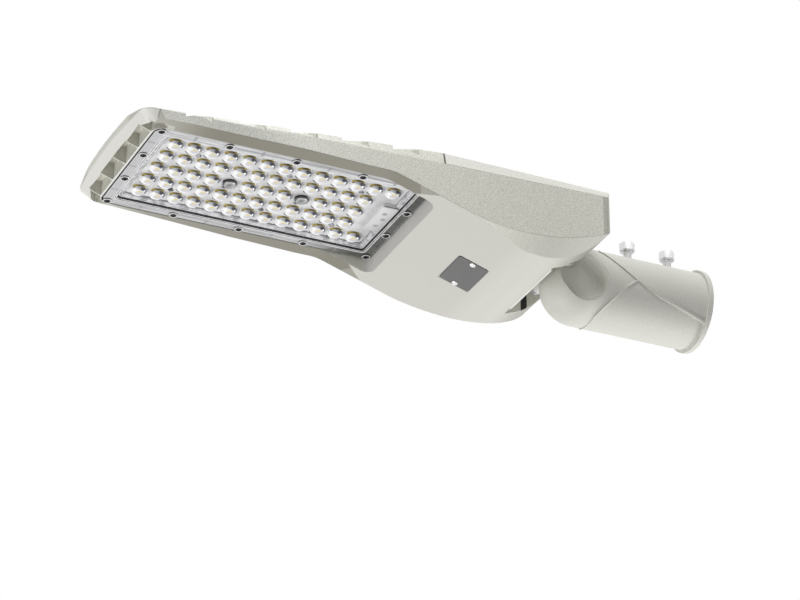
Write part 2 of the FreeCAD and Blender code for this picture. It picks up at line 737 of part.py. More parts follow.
def lens_dome(spot):
    """Faceted lens with its flat crown, hanging under the sheet."""
    s, y = spot
    rings = []
    for depth, grow in LENS_RINGS:
        h = SHEET_H + 0.3 - depth * (LENS_DROP + 0.3)
        turns = [2 * math.pi * (i + 0.5) / LENS_SIDES for i in range(LENS_SIDES)]
        rings.append([Vec(s + grow * LENS_LONG / 2 * math.cos(a), y + grow * LENS_WIDE / 2 * math.sin(a), h)
                      for a in turns])
    return stepped_solid(rings)


def lens_plate():
    """Clear moulded plate: screw flange, stepped border, sheet, lenses and wire cover."""
    step = MODULE_HALF - STEP_HALF
    s0, s1 = MODULE_FRONT_S, MODULE_REAR_S

    def slab(inset, radius, h0, h1):
        return rounded_slab(s0 + inset, s1 - inset, MODULE_HALF - inset, radius, h0, h1)

    flange = slab(0, MODULE_R, FLANGE_H, FLANGE_H + FLANGE_T)
    border = slab(step, 6.0, FLANGE_H + 0.8, SHEET_H + SHEET_T)
    second = slab(step + STEP_WIDTH, 5.0, FLANGE_H + 0.8, FLANGE_H + 2.4)
    hollow = slab(step + 2 * STEP_WIDTH, 4.0, -30, SHEET_H)
    low = SHEET_H - WIRE_COVER_DROP
    cover = box(WIRE_COVER_S - WIRE_COVER_LONG / 2, WIRE_COVER_S + WIRE_COVER_LONG / 2,
                -WIRE_COVER_WIDE / 2, WIRE_COVER_WIDE / 2, low, SHEET_H + 0.1)
    cover = cover.makeChamfer(1.2, [e for e in cover.Edges if abs(e.BoundBox.ZMax - low) < 0.01])
    cups = []
    holes = [peg(SCREW_D / 2 + PASS_GAP, Vec(s, y, -20), Vec(s, y, 20)) for s, y in lens_screw_spots()]
    for column in FIXING_COLUMNS:
        s = column * COLUMN_PITCH
        cups.append(peg(SCREW_CUP_R, Vec(s, 0, SHEET_H - SCREW_CUP_DROP), Vec(s, 0, SHEET_H + 0.1)))
        holes.append(peg(SCREW_CUP_R - 1.6, Vec(s, 0, -20), Vec(s, 0, SHEET_H)))
        holes.append(peg(SCREW_D / 2 + PASS_GAP, Vec(s, 0, -20), Vec(s, 0, 20)))
    shape = flange.fuse(border).cut([second, hollow])
    shape = shape.fuse([cover] + cups + [lens_dome(spot) for spot in lens_spots()])
    return shape.cut(holes).removeSplitter()


def lens_gasket():
    """Seal between the module's flange and the housing, inside the screws."""
    inset = FLANGE_WIDTH - 1.0 - LENS_SEAL_W
    outer = rounded_slab(MODULE_FRONT_S + inset, MODULE_REAR_S - inset, MODULE_HALF - inset, 7.5,
                         FLANGE_H + FLANGE_T, SEAL_SEAT_H)
    inset += LENS_SEAL_W
    inner = rounded_slab(MODULE_FRONT_S + inset, MODULE_REAR_S - inset, MODULE_HALF - inset, 6.0,
                         FLANGE_H, SEAL_SEAT_H + 1)
    return outer.cut(inner)


def led_board():
    """Metal-core board that the LEDs sit on, pressed to the housing."""
    inset = BOARD_MARGIN + MODULE_HALF - STEP_HALF - 6.5
    board = rounded_slab(MODULE_FRONT_S + inset, MODULE_REAR_S - inset, MODULE_HALF - inset, 4.0,
                         BOARD_LOW_H, BOARD_SEAT_H)
    for column in FIXING_COLUMNS:
        s = column * COLUMN_PITCH
        board = board.cut(peg(SCREW_D / 2 + PASS_GAP, Vec(s, 0, 0), Vec(s, 0, 20)))
    slot = box(MODULE_REAR_S - inset - 5.0, MODULE_REAR_S, -WIRE_HOLE_R - 1, WIRE_HOLE_R + 1, 0, 20)
    return board.cut(slot)


def led_chip(spot):
    s, y = spot
    return box(s - CHIP / 2, s + CHIP / 2, y - CHIP / 2, y + CHIP / 2, BOARD_LOW_H - CHIP_T, BOARD_LOW_H)


def gear_tray():
    """Folded steel tray that carries the gear."""
    tray = box(TRAY_FRONT_S, TRAY_REAR_S, -TRAY_HALF, TRAY_HALF, TRAY_H, TRAY_TOP_H)
    for side in (1, -1):
        y0, y1 = sorted((side * TRAY_HALF, side * (TRAY_HALF - TRAY_T)))
        tray = tray.fuse(box(TRAY_FRONT_S, TRAY_REAR_S, y0, y1, TRAY_H, TRAY_TOP_H + 6))
    for s, y in tray_post_spots():
        tray = tray.cut(peg(SCREW_D / 2 + PASS_GAP, Vec(s, y, TRAY_H - 5), Vec(s, y, TRAY_TOP_H + 5)))
    return tray.removeSplitter()


def led_driver():
    """Driver in its ribbed case with a foot at each end."""
    half = DRIVER_LONG / 2 - 10
    case = box(DRIVER_S - DRIVER_WIDE / 2, DRIVER_S + DRIVER_WIDE / 2, -half + 6, half - 6,
               TRAY_TOP_H, TRAY_TOP_H + DRIVER_TALL)
    case = case.makeChamfer(2.5, [e for e in case.Edges if e.BoundBox.ZMin > TRAY_TOP_H + DRIVER_TALL - 0.01])
    for i in range(-2, 3):
        s = DRIVER_S + i * 8.0
        case = case.cut(box(s - 1.2, s + 1.2, -half, half, TRAY_TOP_H + DRIVER_TALL - DRIVER_WALL_T, 60))
    foot = box(DRIVER_S - 14, DRIVER_S + 14, -half, half, TRAY_TOP_H, TRAY_TOP_H + 3)
    shape = case.fuse(foot)
    for side in (1, -1):
        y = side * (half - 3)
        shape = shape.cut(peg(1.8, Vec(DRIVER_S, y, TRAY_H - 2), Vec(DRIVER_S, y, 20)))
    return shape


def terminal_block():
    """Screw terminal block for the incoming cores."""
    length = TERMINAL_WAYS * TERMINAL_PITCH
    y0 = TERMINAL_Y - length / 2
    block = box(TERMINAL_S - 9, TERMINAL_S + 9, y0, y0 + length, TRAY_TOP_H, TRAY_TOP_H + 13)
    for i in range(TERMINAL_WAYS):
        y = y0 + (i + 0.5) * TERMINAL_PITCH
        block = block.cut(peg(2.6, Vec(TERMINAL_S, y, TRAY_TOP_H + 8), Vec(TERMINAL_S, y, 40)))
        for side in (1, -1):
            block = block.cut(box(*sorted((TERMINAL_S + side * 4, TERMINAL_S + side * 12)), y - 2.4, y + 2.4,
                                  TRAY_TOP_H + 2, TRAY_TOP_H + 7))
    return block


def surge_protector():
    block = Part.makeBox(SURGE_LONG, SURGE_WIDE, SURGE_TALL,
                         Vec(SURGE_S - SURGE_LONG / 2, SURGE_Y - SURGE_WIDE / 2, TRAY_TOP_H))
    return block.makeChamfer(2.0, [e for e in block.Edges if abs(e.Vertexes[0].Z - e.Vertexes[-1].Z) > 5])


def cable_gland():
    """Gland body in the tunnel wall: shank, collar and clamping nut in one turning."""
    x0 = TUNNEL_S
    shank = peg(GLAND_D / 2, Vec(x0 - WALL - 7, 0, GLAND_H), Vec(x0, 0, GLAND_H), ROUND_SIDES)
    collar = hexagon(GLAND_AF, 4.0, Vec(x0, 0, GLAND_H), Vec(1, 0, 0))
    nut = peg(GLAND_D / 2, Vec(x0 + 4.0, 0, GLAND_H), Vec(x0 + 12.0, 0, GLAND_H), ROUND_SIDES)
    nut = nut.makeChamfer(1.5, [e for e in nut.Edges if e.BoundBox.XMin > x0 + 11.9])
    bore = peg(4.5, Vec(x0 - 20, 0, GLAND_H), Vec(x0 + 20, 0, GLAND_H), ROUND_SIDES)
    return shank.fuse([collar, nut]).cut(bore).removeSplitter()


def gland_locknut():
    x0 = TUNNEL_S - WALL - 3.5
    nut = hexagon(GLAND_AF, 3.5, Vec(x0, 0, GLAND_H), Vec(1, 0, 0))
    hole = peg(GLAND_D / 2 + SCREW_GAP, Vec(x0 - 2, 0, GLAND_H), Vec(x0 + 6, 0, GLAND_H), ROUND_SIDES)
    return nut.cut(hole)


def wire_grommet():
    """Rubber bush where the LED leads enter the gear compartment."""
    h = BOARD_SEAT_H - 0.6
    neck = peg(WIRE_HOLE_R - SCREW_GAP, Vec(BAY_FRONT_S - 6, 0, h), Vec(BAY_FRONT_S, 0, h))
    collar = peg(WIRE_HOLE_R + 2.5, Vec(BAY_FRONT_S, 0, h), Vec(BAY_FRONT_S + 2, 0, h))
    return neck.fuse(collar).cut(peg(2.0, Vec(BAY_FRONT_S - 10, 0, h), Vec(BAY_FRONT_S + 5, 0, h)))


def rating_plate():
    plate = plate_block(PLATE_LONG, PLATE_WIDE, -PLATE_SINK, PLATE_T)
    for side in (1, -1):
        plate = plate.cut(plate_rod(side * PLATE_SCREW_Y, PLATE_SCREW_D / 2 + 0.2, -6, 4))
    return plate


def rating_plate_screw(side):
    out = PLATE_T - PLATE_SINK
    shank = plate_rod(side * PLATE_SCREW_Y, PLATE_SCREW_D / 2, -PLATE_SINK - 2.4, out)
    head = plate_rod(side * PLATE_SCREW_Y, PLATE_SCREW_D * 0.9, out, out + 1.2)
    return shank.fuse(head)


def spigot():
    """Cast spigot: pole socket, ball end with side pockets, web and cable way."""
    ball = Vec(-SOCKET_LEN, 0, 0)
    tube = rod(TUBE_R, ball, Vec(0, 0, 0))
    collar = rod(TUBE_R + BEAD_OUT, Vec(-BEAD_LEN, 0, 0), Vec(0, 0, 0))
    web = rod(EAR_R, Vec(PIVOT_X, -WEB_HALF, PIVOT_RISE), Vec(PIVOT_X, WEB_HALF, PIVOT_RISE))
    low, high = BORE_D / 2 + 1, TUBE_R + SET_SCREW_BOSS_OUT
    bosses = [peg(SET_SCREW_BOSS_R, Vec(x, 0, low), Vec(x, 0, high), ROUND_SIDES) for x in set_screw_places()]
    shape = tube.fuse([Part.makeSphere(TUBE_R, ball), collar, web, spigot_ridges()] + bosses)
    start = Vec(-BORE_DEPTH + 4, 0, 0)
    cuts = [rod(BORE_D / 2, Vec(-BORE_DEPTH, 0, 0), Vec(5, 0, 0)),
            peg(CABLE_WAY_R, start, start + Vec(-60, 0, 60 * CABLE_WAY_RISE), ROUND_SIDES),
            rod(BOLT_D / 2 + RUN_GAP, Vec(PIVOT_X, -60, PIVOT_RISE), Vec(PIVOT_X, 60, PIVOT_RISE))]
    cuts += [peg(SET_SCREW_D / 2 + SCREW_GAP, Vec(x, 0, 0), Vec(x, 0, 60), ROUND_SIDES)
             for x in set_screw_places()]
    return shape.cut(cuts + knuckle_pockets()).removeSplitter()


def set_screw_places():
    return (-SET_SCREW_FIRST, -SET_SCREW_FIRST - SET_SCREW_PITCH)


def pocket_channel(depth):
    """Round-ended channel that opens along +Y and runs out along +X, its floor edge blended in steps."""
    rim = POCKET_R - POCKET_BLEND
    steps = [(rim + POCKET_BLEND * math.sin(a), POCKET_BLEND * (1 - math.cos(a)))
             for a in [i * math.pi / 8 for i in range(5)]]
    profile = [(0.0, 0.0)] + steps + [(POCKET_R, depth), (0.0, depth)]
    half = Part.Face(Part.makePolygon([Vec(0, y, r) for r, y in profile + [profile[0]]]))
    end = half.revolve(Vec(0, 0, 0), Vec(0, 1, 0), 360)
    both = half.fuse(half.mirror(Vec(0, 0, 0), Vec(0, 0, 1))).removeSplitter()
    return end.fuse(both.extrude(Vec(90, 0, 0))).removeSplitter()


def knuckle_pockets():
    """Channels beside the ball that leave the web, and room for the tilting ears."""
    centre = Vec(-SOCKET_LEN - POCKET_FORWARD, 0, -POCKET_DROP)
    depth = TUBE_R + 5 - WEB_HALF
    reach = EAR_R + 1.5
    cuts = []
    for side in (1, -1):
        channel = pocket_channel(depth)
        if side < 0:
            channel = channel.mirror(Vec(0, 0, 0), Vec(0, 1, 0))
        channel.rotate(Vec(0, 0, 0), Vec(0, 1, 0), POCKET_TURN - 180)
        channel.translate(centre + Vec(0, side * WEB_HALF, 0))
        low, high = sorted((side * WEB_HALF, side * (TUBE_R + 5)))
        swing = Part.makeBox(2 * reach + 20, high - low, 50, Vec(PIVOT_X - reach - 20, low, PIVOT_RISE))
        swing = swing.fuse(rod(reach, Vec(PIVOT_X, low, PIVOT_RISE), Vec(PIVOT_X, high, PIVOT_RISE)))
        cuts += [channel, swing]
    return cuts


def ridge_band(route):
    """Upright band that follows a side route of arcs (three points) and lines (two points)."""
    shift = Vec(0, 0, RIDGE_WIDTH)

    def edges(move):
        parts = []
        for points in route:
            spots = [Vec(x, -TUBE_R - 5, z) + move for x, z in points]
            parts.append(Part.Arc(*spots).toShape() if len(spots) == 3 else Part.makeLine(*spots))
        return parts

    first, last = route[0][0], route[-1][-1]
    ends = []
    for x, z in (first, last):
        spot = Vec(x, -TUBE_R - 5, z)
        ends.append(Part.makeLine(spot, spot + shift))
    wire = Part.Wire(Part.__sortEdges__(edges(Vec(0, 0, 0)) + edges(shift) + ends))
    return Part.Face(wire).extrude(Vec(0, 2 * TUBE_R + 10, 0))


def spigot_ridges():
    """Two fine ridges on each side of the tube that meet in a slanting cross."""
    shell = rod(TUBE_R + RIDGE_OUT, Vec(-SOCKET_LEN + 4, 0, 0), Vec(-1, 0, 0))
    long_band = ridge_band((((-109, 26), (-87, 5.4), (-53, -12.8)), ((-53, -12.8), (-3, -25.6))))
    short_band = ridge_band((((-76, -2), (-93, -16.6), (-110, -36.4)),))
    return long_band.fuse(short_band).common(shell)


def set_screw(x):
    """Hexagon clamping screw whose tip stops just short of the bore."""
    top = TUBE_R + SET_SCREW_STAND
    shank = peg(SET_SCREW_D / 2, Vec(x, 0, BORE_D / 2 + 0.5), Vec(x, 0, top), ROUND_SIDES)
    return shank.fuse(hexagon(SET_SCREW_AF, SET_SCREW_HEAD, Vec(x, 0, top), Vec(0, 0, 1), 15))


def pivot_bolt():
    """Hexagon bolt through both ears and the web; its head is on the +Y side."""
    y_head = EAR_OUT + WASHER_T
    y_tip = -y_head - NUT_HEIGHT - 0.8
    shank = rod(BOLT_D / 2, Vec(PIVOT_X, y_tip, PIVOT_RISE), Vec(PIVOT_X, y_head, PIVOT_RISE))
    return shank.fuse(hexagon(BOLT_AF, BOLT_HEAD, Vec(PIVOT_X, y_head, PIVOT_RISE), Vec(0, 1, 0), 33))


def pivot_washer(side):
    y0, y1 = side * EAR_OUT, side * (EAR_OUT + WASHER_T)
    inner, outer = Vec(PIVOT_X, y0, PIVOT_RISE), Vec(PIVOT_X, y1, PIVOT_RISE)
    past = Vec(0, side, 0)
    ring = peg(WASHER_D / 2, inner, outer, ROUND_SIDES)
    hole = peg(BOLT_D / 2 + 2 * HOLE_GAP, inner - past, outer + past, ROUND_SIDES)
    return ring.cut(hole)


def pivot_nut():
    y0 = -EAR_OUT - WASHER_T
    nut = hexagon(BOLT_AF, NUT_HEIGHT, Vec(PIVOT_X, y0, PIVOT_RISE), Vec(0, -1, 0), 20)
    hole = rod(BOLT_D / 2 + SCREW_GAP, Vec(PIVOT_X, y0 + 1, PIVOT_RISE), Vec(PIVOT_X, y0 - 10, PIVOT_RISE))
    return nut.cut(hole)


def save(name, shape, in_head=True):
    if in_head:
        shape = shape.copy()
        shape.translate(HEAD_SHIFT)
    shape.exportStep(os.path.join(OUT, name + ".step"))
    solids = shape.Solids
    state = "valid" if shape.isValid() else "INVALID"
    print(name, len(solids), "solids", round(shape.Volume / 1000, 2), "cm3", state)


def main():
    os.makedirs(OUT, exist_ok=True)
    form = whole_form()
    save("main_housing", main_housing(form))
    save("top_cover", top_cover(form))
    save("cover_gasket", cover_gasket())
    save("cover_screws", pattern(cover_screw_spots(),
                                 lambda p: screw(p, cover_seat(p[0]), along(STRIP_LOW_H, p[0]) - 14)))
    save("lens_plate", lens_plate())
    save("lens_gasket", lens_gasket())
    save("lens_screws", pattern(lens_screw_spots(),
                                lambda p: screw(p, FLANGE_H, SEAL_SEAT_H + 5)))
    save("led_board", led_board())
    save("led_chips", pattern(lens_spots(), led_chip))
    save("board_screws", pattern([(c * COLUMN_PITCH, 0) for c in FIXING_COLUMNS],
                                 lambda p: screw(p, SHEET_H, BOARD_SEAT_H + 3.4)))
    save("gear_tray", gear_tray())
    save("tray_screws", pattern(tray_post_spots(), lambda p: screw(p, TRAY_TOP_H, TRAY_H - 7.8)))
    save("led_driver", led_driver())
    save("terminal_block", terminal_block())
    save("surge_protector", surge_protector())
    save("cable_gland", cable_gland())
    save("gland_locknut", gland_locknut())
    save("wire_grommet", wire_grommet())
    save("tunnel_curtains", curtain_slot(-1, -0.1).common(form))
    save("rating_plate", rating_plate())
    save("rating_plate_screws", pattern((1, -1), rating_plate_screw))
    save("spigot", spigot(), False)
    save("set_screws", pattern(set_screw_places(), set_screw), False)
    save("pivot_bolt", pivot_bolt(), False)
    save("pivot_washers", pattern((1, -1), pivot_washer), False)
    save("pivot_nut", pivot_nut(), False)


main()
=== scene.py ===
# %% [markdown]
# # An LED street light head, dressed for its portrait
#
# The solid model already holds every piece at its real size. This notebook gives each piece
# its finish, replaces the plain optics and fasteners with detailed ones, and sets up the
# camera and the light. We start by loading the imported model, which never moves from here on.

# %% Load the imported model
import math

import bmesh
import bpy
from mathutils import Matrix, Vector


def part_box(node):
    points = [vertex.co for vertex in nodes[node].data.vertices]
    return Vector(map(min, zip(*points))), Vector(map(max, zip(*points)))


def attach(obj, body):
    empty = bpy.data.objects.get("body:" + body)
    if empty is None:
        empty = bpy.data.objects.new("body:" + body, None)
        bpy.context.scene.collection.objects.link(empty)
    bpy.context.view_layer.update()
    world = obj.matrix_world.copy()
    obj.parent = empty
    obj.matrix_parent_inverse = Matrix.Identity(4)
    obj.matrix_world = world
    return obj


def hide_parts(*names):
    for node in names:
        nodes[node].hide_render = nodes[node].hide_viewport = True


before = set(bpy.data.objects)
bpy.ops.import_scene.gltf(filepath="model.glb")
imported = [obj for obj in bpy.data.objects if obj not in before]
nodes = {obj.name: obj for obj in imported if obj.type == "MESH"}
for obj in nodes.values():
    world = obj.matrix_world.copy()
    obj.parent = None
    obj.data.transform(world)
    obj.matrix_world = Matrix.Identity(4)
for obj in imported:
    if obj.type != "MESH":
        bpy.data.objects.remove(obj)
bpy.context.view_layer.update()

# %% [markdown]
# ## Where things are
#
# The head was drawn in stations that run back from the first column of lenses. Keeping the
# same stations here lets us place every detail by the numbers that a designer would use.
# `head(s, y, h)` turns a station, a side offset and a height in millimetres into metres.

# %% Head stations
MM = 0.001
FIRST_LENS_X = -0.5255
LENS_PLANE_Z = 0.0268
FLANGE_H = -3.4
SHEET_H = 1.6


def head(s, y, h):
    return Vector((FIRST_LENS_X + s * MM, y * MM, LENS_PLANE_Z + h * MM))


print("first lens at:", tuple(round(v, 4) for v in head(0, 0, 0)))

# %% [markdown]
# ## The camera
#
# The picture was taken from below, from the front left, through a long lens. The place and
# the turn come from the lens grid, which makes a good ruler: five rows and thirteen columns
# of equal pitch. The image is 800 by 600 pixels and the focal length is 3500 pixels.

# %% Camera
IMAGE_WIDTH = 800
FOCAL_PIXELS = 3500.0
CAMERA_AT = Vector((-1.42954, -2.46798, -1.46921))
VIEW_AZIMUTH = math.radians(-24.694)
VIEW_ELEVATION = math.radians(-27.563)


def camera_turn(azimuth, elevation):
    """Rotation of a level camera that looks along azimuth and up or down by elevation."""
    back = Vector((math.sin(azimuth) * math.cos(elevation),
                   -math.cos(azimuth) * math.cos(elevation), math.sin(elevation)))
    right = Vector((math.cos(azimuth), math.sin(azimuth), 0.0))
    up = back.cross(right)
    return Matrix((right, up, back)).transposed()


lens = bpy.data.cameras.new("portrait_lens")
lens.sensor_width = 36.0
lens.lens = FOCAL_PIXELS / IMAGE_WIDTH * lens.sensor_width
lens.clip_start = 0.1
lens.clip_end = 60.0
camera = bpy.data.objects.new("portrait_camera", lens)
camera.location = CAMERA_AT
camera.rotation_euler = camera_turn(VIEW_AZIMUTH, VIEW_ELEVATION).to_euler()
bpy.context.collection.objects.link(camera)
bpy.context.scene.camera = camera
print("lens length in mm:", round(lens.lens, 1))

# %% [markdown]
# ## The stage
#
# A street light head hangs high above the ground, and the camera looks up at it, so the
# floor lies far below both. It is pale and wide. The world is a soft studio, bright above
# and below with a darker belt at eye level: on a painted tube that belt becomes the long
# soft shadow which tells us that the tube is round. A lamp could paint the same shadow, but
# only from one side. To the camera, and in mirrors and glass, the studio is plain white.

# %% Floor and studio light
FLOOR_Z = -3.0
FLOOR_HALF = 20.0
FLOOR_WHITE = 0.75
STUDIO_STRENGTH = 0.68
# Share of full brightness at each height, from straight down (0) to straight up (1)
STUDIO_TONES = ((0.0, 0.90), (0.14, 0.62), (0.27, 0.32), (0.44, 0.12), (0.56, 0.14), (0.73, 0.46),
                (0.86, 0.75), (1.0, 0.85))
LAMP_AIM = Vector((-0.28, 0.0, 0.02))
# Place, width in metres and power in watts of each lamp
LAMPS = {
    "key_from_front_below": ((-2.0, 0.6, -2.1), 1.4, 36.0),
    "soft_from_above": ((-0.6, -1.4, 2.3), 1.8, 52.0),
    "rim_from_behind_below": ((1.9, 0.5, -1.5), 1.0, 34.0),
}


def plain_white(tree, shader, share=1.0):
    """Shader that the camera, mirrors and glass see as white, by share; light sees the shader."""
    path = tree.nodes.new("ShaderNodeLightPath")
    seen = path.outputs["Is Camera Ray"]
    for kind in ("Is Glossy Ray", "Is Transmission Ray"):
        either = tree.nodes.new("ShaderNodeMath")
        either.operation = "MAXIMUM"
        tree.links.new(seen, either.inputs[0])
        tree.links.new(path.outputs[kind], either.inputs[1])
        seen = either.outputs[0]
    part = tree.nodes.new("ShaderNodeMath")
    part.operation = "MULTIPLY"
    part.inputs[1].default_value = share
    tree.links.new(seen, part.inputs[0])
    glow = tree.nodes.new("ShaderNodeEmission")
    glow.inputs["Color"].default_value = (1, 1, 1, 1)
    glow.inputs["Strength"].default_value = 1.0
    mix = tree.nodes.new("ShaderNodeMixShader")
    tree.links.new(part.outputs[0], mix.inputs[0])
    tree.links.new(shader, mix.inputs[1])
    tree.links.new(glow.outputs[0], mix.inputs[2])
    return mix.outputs[0]


def make_floor():
    mesh = bpy.data.meshes.new("floor")
    corners = [(-FLOOR_HALF, -FLOOR_HALF, FLOOR_Z), (FLOOR_HALF, -FLOOR_HALF, FLOOR_Z),
               (FLOOR_HALF, FLOOR_HALF, FLOOR_Z), (-FLOOR_HALF, FLOOR_HALF, FLOOR_Z)]
    mesh.from_pydata(corners, [], [(0, 1, 2, 3)])
    floor = bpy.data.objects.new("floor", mesh)
    bpy.context.collection.objects.link(floor)
    paint = bpy.data.materials.new("pale_floor")
    paint.use_nodes = True
    shader = paint.node_tree.nodes["Principled BSDF"]
    shader.inputs["Base Color"].default_value = (0.8, 0.8, 0.8, 1)
    shader.inputs["Roughness"].default_value = 0.8
    out = paint.node_tree.nodes["Material Output"]
    surface = plain_white(paint.node_tree, shader.outputs[0], FLOOR_WHITE)
    paint.node_tree.links.new(surface, out.inputs["Surface"])
    mesh.materials.append(paint)


def make_studio():
    world = bpy.data.worlds.new("studio")
    bpy.context.scene.world = world
    world.use_nodes = True
    tree = world.node_tree
    light = tree.nodes["Background"]
    spot = tree.nodes.new("ShaderNodeTexCoord")
    split = tree.nodes.new("ShaderNodeSeparateXYZ")
    ramp = tree.nodes.new("ShaderNodeValToRGB")
    level = tree.nodes.new("ShaderNodeMapRange")
    level.inputs["From Min"].default_value = -1.0
    level.inputs["From Max"].default_value = 1.0
    tree.links.new(spot.outputs["Generated"], split.inputs[0])
    tree.links.new(split.outputs["Z"], level.inputs["Value"])
    tree.links.new(level.outputs[0], ramp.inputs["Fac"])
    stops = ramp.color_ramp.elements
    for stop, (place, tone) in zip(stops, (STUDIO_TONES[0], STUDIO_TONES[-1])):
        stop.position = place
        stop.color = (tone, tone, tone, 1)
    for place, tone in STUDIO_TONES[1:-1]:
        stops.new(place).color = (tone, tone, tone, 1)
    tree.links.new(ramp.outputs["Color"], light.inputs["Color"])
    light.inputs["Strength"].default_value = STUDIO_STRENGTH
    out = tree.nodes["World Output"]
    tree.links.new(plain_white(tree, light.outputs[0]), out.inputs["Surface"])


def make_lamp(name, place, size, power):
    data = bpy.data.lights.new(name, "AREA")
    data.shape = "DISK"
    data.size = size
    data.energy = power
    lamp = bpy.data.objects.new(name, data)
    lamp.location = place
    aim = LAMP_AIM - Vector(place)
    lamp.rotation_euler = aim.to_track_quat("-Z", "Y").to_euler()
    bpy.context.collection.objects.link(lamp)


make_floor()
make_studio()
for lamp_name, (lamp_place, lamp_size, lamp_power) in LAMPS.items():
    make_lamp(lamp_name, lamp_place, lamp_size, lamp_power)
bpy.context.scene.view_settings.view_transform = "Standard"

# %% [markdown]
# ## A small kit of shader nodes
#
# Every finish below is wired from the same few nodes, so we wrap each of them in a short
# function. All sizes are given in millimetres, because a grain of powder is easier to
# picture as 0.9 mm than as a noise scale. `stations` gives a shader the same s, y and h
# that the designer uses, so a finish can know where on the head it is. A mask is a value
# that is 1 inside a zone and 0 outside, so multiplying two masks keeps what they share.

# %% Shader helpers
def new_finish(name):
    finish = bpy.data.materials.new(name)
    finish.use_nodes = True
    tree = finish.node_tree
    return finish, tree, tree.nodes["Principled BSDF"]


def object_coords(tree):
    return tree.nodes.new("ShaderNodeTexCoord").outputs["Object"]


def calc(tree, operation, *values):
    """One Math node; values are numbers or other nodes' outputs."""
    node = tree.nodes.new("ShaderNodeMath")
    node.operation = operation
    for socket, value in zip(node.inputs, values):
        if isinstance(value, (int, float)):
            socket.default_value = value
        else:
            tree.links.new(value, socket)
    return node.outputs[0]


def stations(tree):
    """Outputs s, y and h in millimetres."""
    split = tree.nodes.new("ShaderNodeSeparateXYZ")
    tree.links.new(object_coords(tree), split.inputs[0])
    s = calc(tree, "MULTIPLY_ADD", split.outputs["X"], 1000.0, -FIRST_LENS_X * 1000.0)
    y = calc(tree, "MULTIPLY", split.outputs["Y"], 1000.0)
    h = calc(tree, "MULTIPLY_ADD", split.outputs["Z"], 1000.0, -LENS_PLANE_Z * 1000.0)
    return s, y, h


def facing(tree):
    """Parts of the surface direction across, |y|, along, x, and up, z."""
    split = tree.nodes.new("ShaderNodeSeparateXYZ")
    tree.links.new(tree.nodes.new("ShaderNodeTexCoord").outputs["Normal"], split.inputs[0])
    return calc(tree, "ABSOLUTE", split.outputs["Y"]), split.outputs["X"], split.outputs["Z"]


def noise(tree, coords, size_mm, detail=2.0):
    """Noise whose blobs are about size_mm across."""
    node = tree.nodes.new("ShaderNodeTexNoise")
    node.inputs["Scale"].default_value = 500.0 / size_mm
    node.inputs["Detail"].default_value = detail
    tree.links.new(coords, node.inputs["Vector"])
    return node.outputs["Fac"]


def stretch(tree, value, low, high, to_low=0.0, to_high=1.0):
    """Value moved from one range to another, with smooth ends."""
    node = tree.nodes.new("ShaderNodeMapRange")
    node.interpolation_type = "SMOOTHSTEP"
    for socket, number in zip(list(node.inputs)[1:5], (low, high, to_low, to_high)):
        socket.default_value = number
    tree.links.new(value, node.inputs["Value"])
    return node.outputs[0]


def between(tree, value, low, high, soft):
    """1 between low and high, 0 outside, with soft ends."""
    rise = stretch(tree, value, low - soft, low + soft)
    fall = stretch(tree, value, high - soft, high + soft, 1.0, 0.0)
    return calc(tree, "MULTIPLY", rise, fall)


def fade_in(tree, value, span):
    """0 before the span and 1 after it."""
    return stretch(tree, value, *span)


def fade_out(tree, value, span):
    """1 before the span and 0 after it."""
    return stretch(tree, value, *span, 1.0, 0.0)


def opposite(tree, mask):
    return calc(tree, "SUBTRACT", 1.0, mask)


def distance(tree, across, high):
    squares = calc(tree, "ADD", calc(tree, "MULTIPLY", across, across), calc(tree, "MULTIPLY", high, high))
    return calc(tree, "SQRT", squares)


def both(tree, *masks):
    total = masks[0]
    for mask in masks[1:]:
        total = calc(tree, "MULTIPLY", total, mask)
    return total


def blend_tone(tree, fac, low, high, way="MIX"):
    """Colour between low and high by fac; each may be a tone or another colour output."""
    mix = tree.nodes.new("ShaderNodeMix")
    mix.data_type = "RGBA"
    mix.blend_type = way
    for name, value in (("A", low), ("B", high)):
        if isinstance(value, (tuple, list)):
            mix.inputs[name].default_value = (*value, 1)
        else:
            tree.links.new(value, mix.inputs[name])
    if isinstance(fac, (int, float)):
        mix.inputs["Factor"].default_value = fac
    else:
        tree.links.new(fac, mix.inputs["Factor"])
    return mix.outputs["Result"]


def as_grey(tree, tone):
    """Colour whose three parts are all the tone."""
    node = tree.nodes.new("ShaderNodeCombineColor")
    for socket in node.inputs:
        tree.links.new(tone, socket)
    return node.outputs[0]


def bump(tree, height, distance_mm, strength, normal=None):
    node = tree.nodes.new("ShaderNodeBump")
    node.inputs["Distance"].default_value = distance_mm * MM
    node.inputs["Strength"].default_value = strength
    tree.links.new(height, node.inputs["Height"])
    if normal is not None:
        tree.links.new(normal, node.inputs["Normal"])
    return node.outputs["Normal"]


def soft_edges(tree, radius_mm):
    """Surface direction with every sharp edge rounded in the shading."""
    edge = tree.nodes.new("ShaderNodeBevel")
    edge.samples = 6
    edge.inputs["Radius"].default_value = radius_mm * MM
    return edge.outputs["Normal"]


def dress(node, finish):
    """Give a carried-over node its finish."""
    mesh = nodes[node].data
    mesh.materials.clear()
    mesh.materials.append(finish)


print("shader helpers ready")

# %% [markdown]
# ## Powder coat
#
# The casting, its cover and the spigot are sprayed with a warm grey powder that bakes into a
# fine orange-peel skin. One flat colour would look like plastic, so we add three things at
# their real scale: tiny grains that lift and darken the surface by a hair, a slow cloud of
# tone where the powder lies thicker, and rounded edges from a bevel on the shading normal.
# The cover also gets a dark line at its front end, the joint in which it meets the casting.

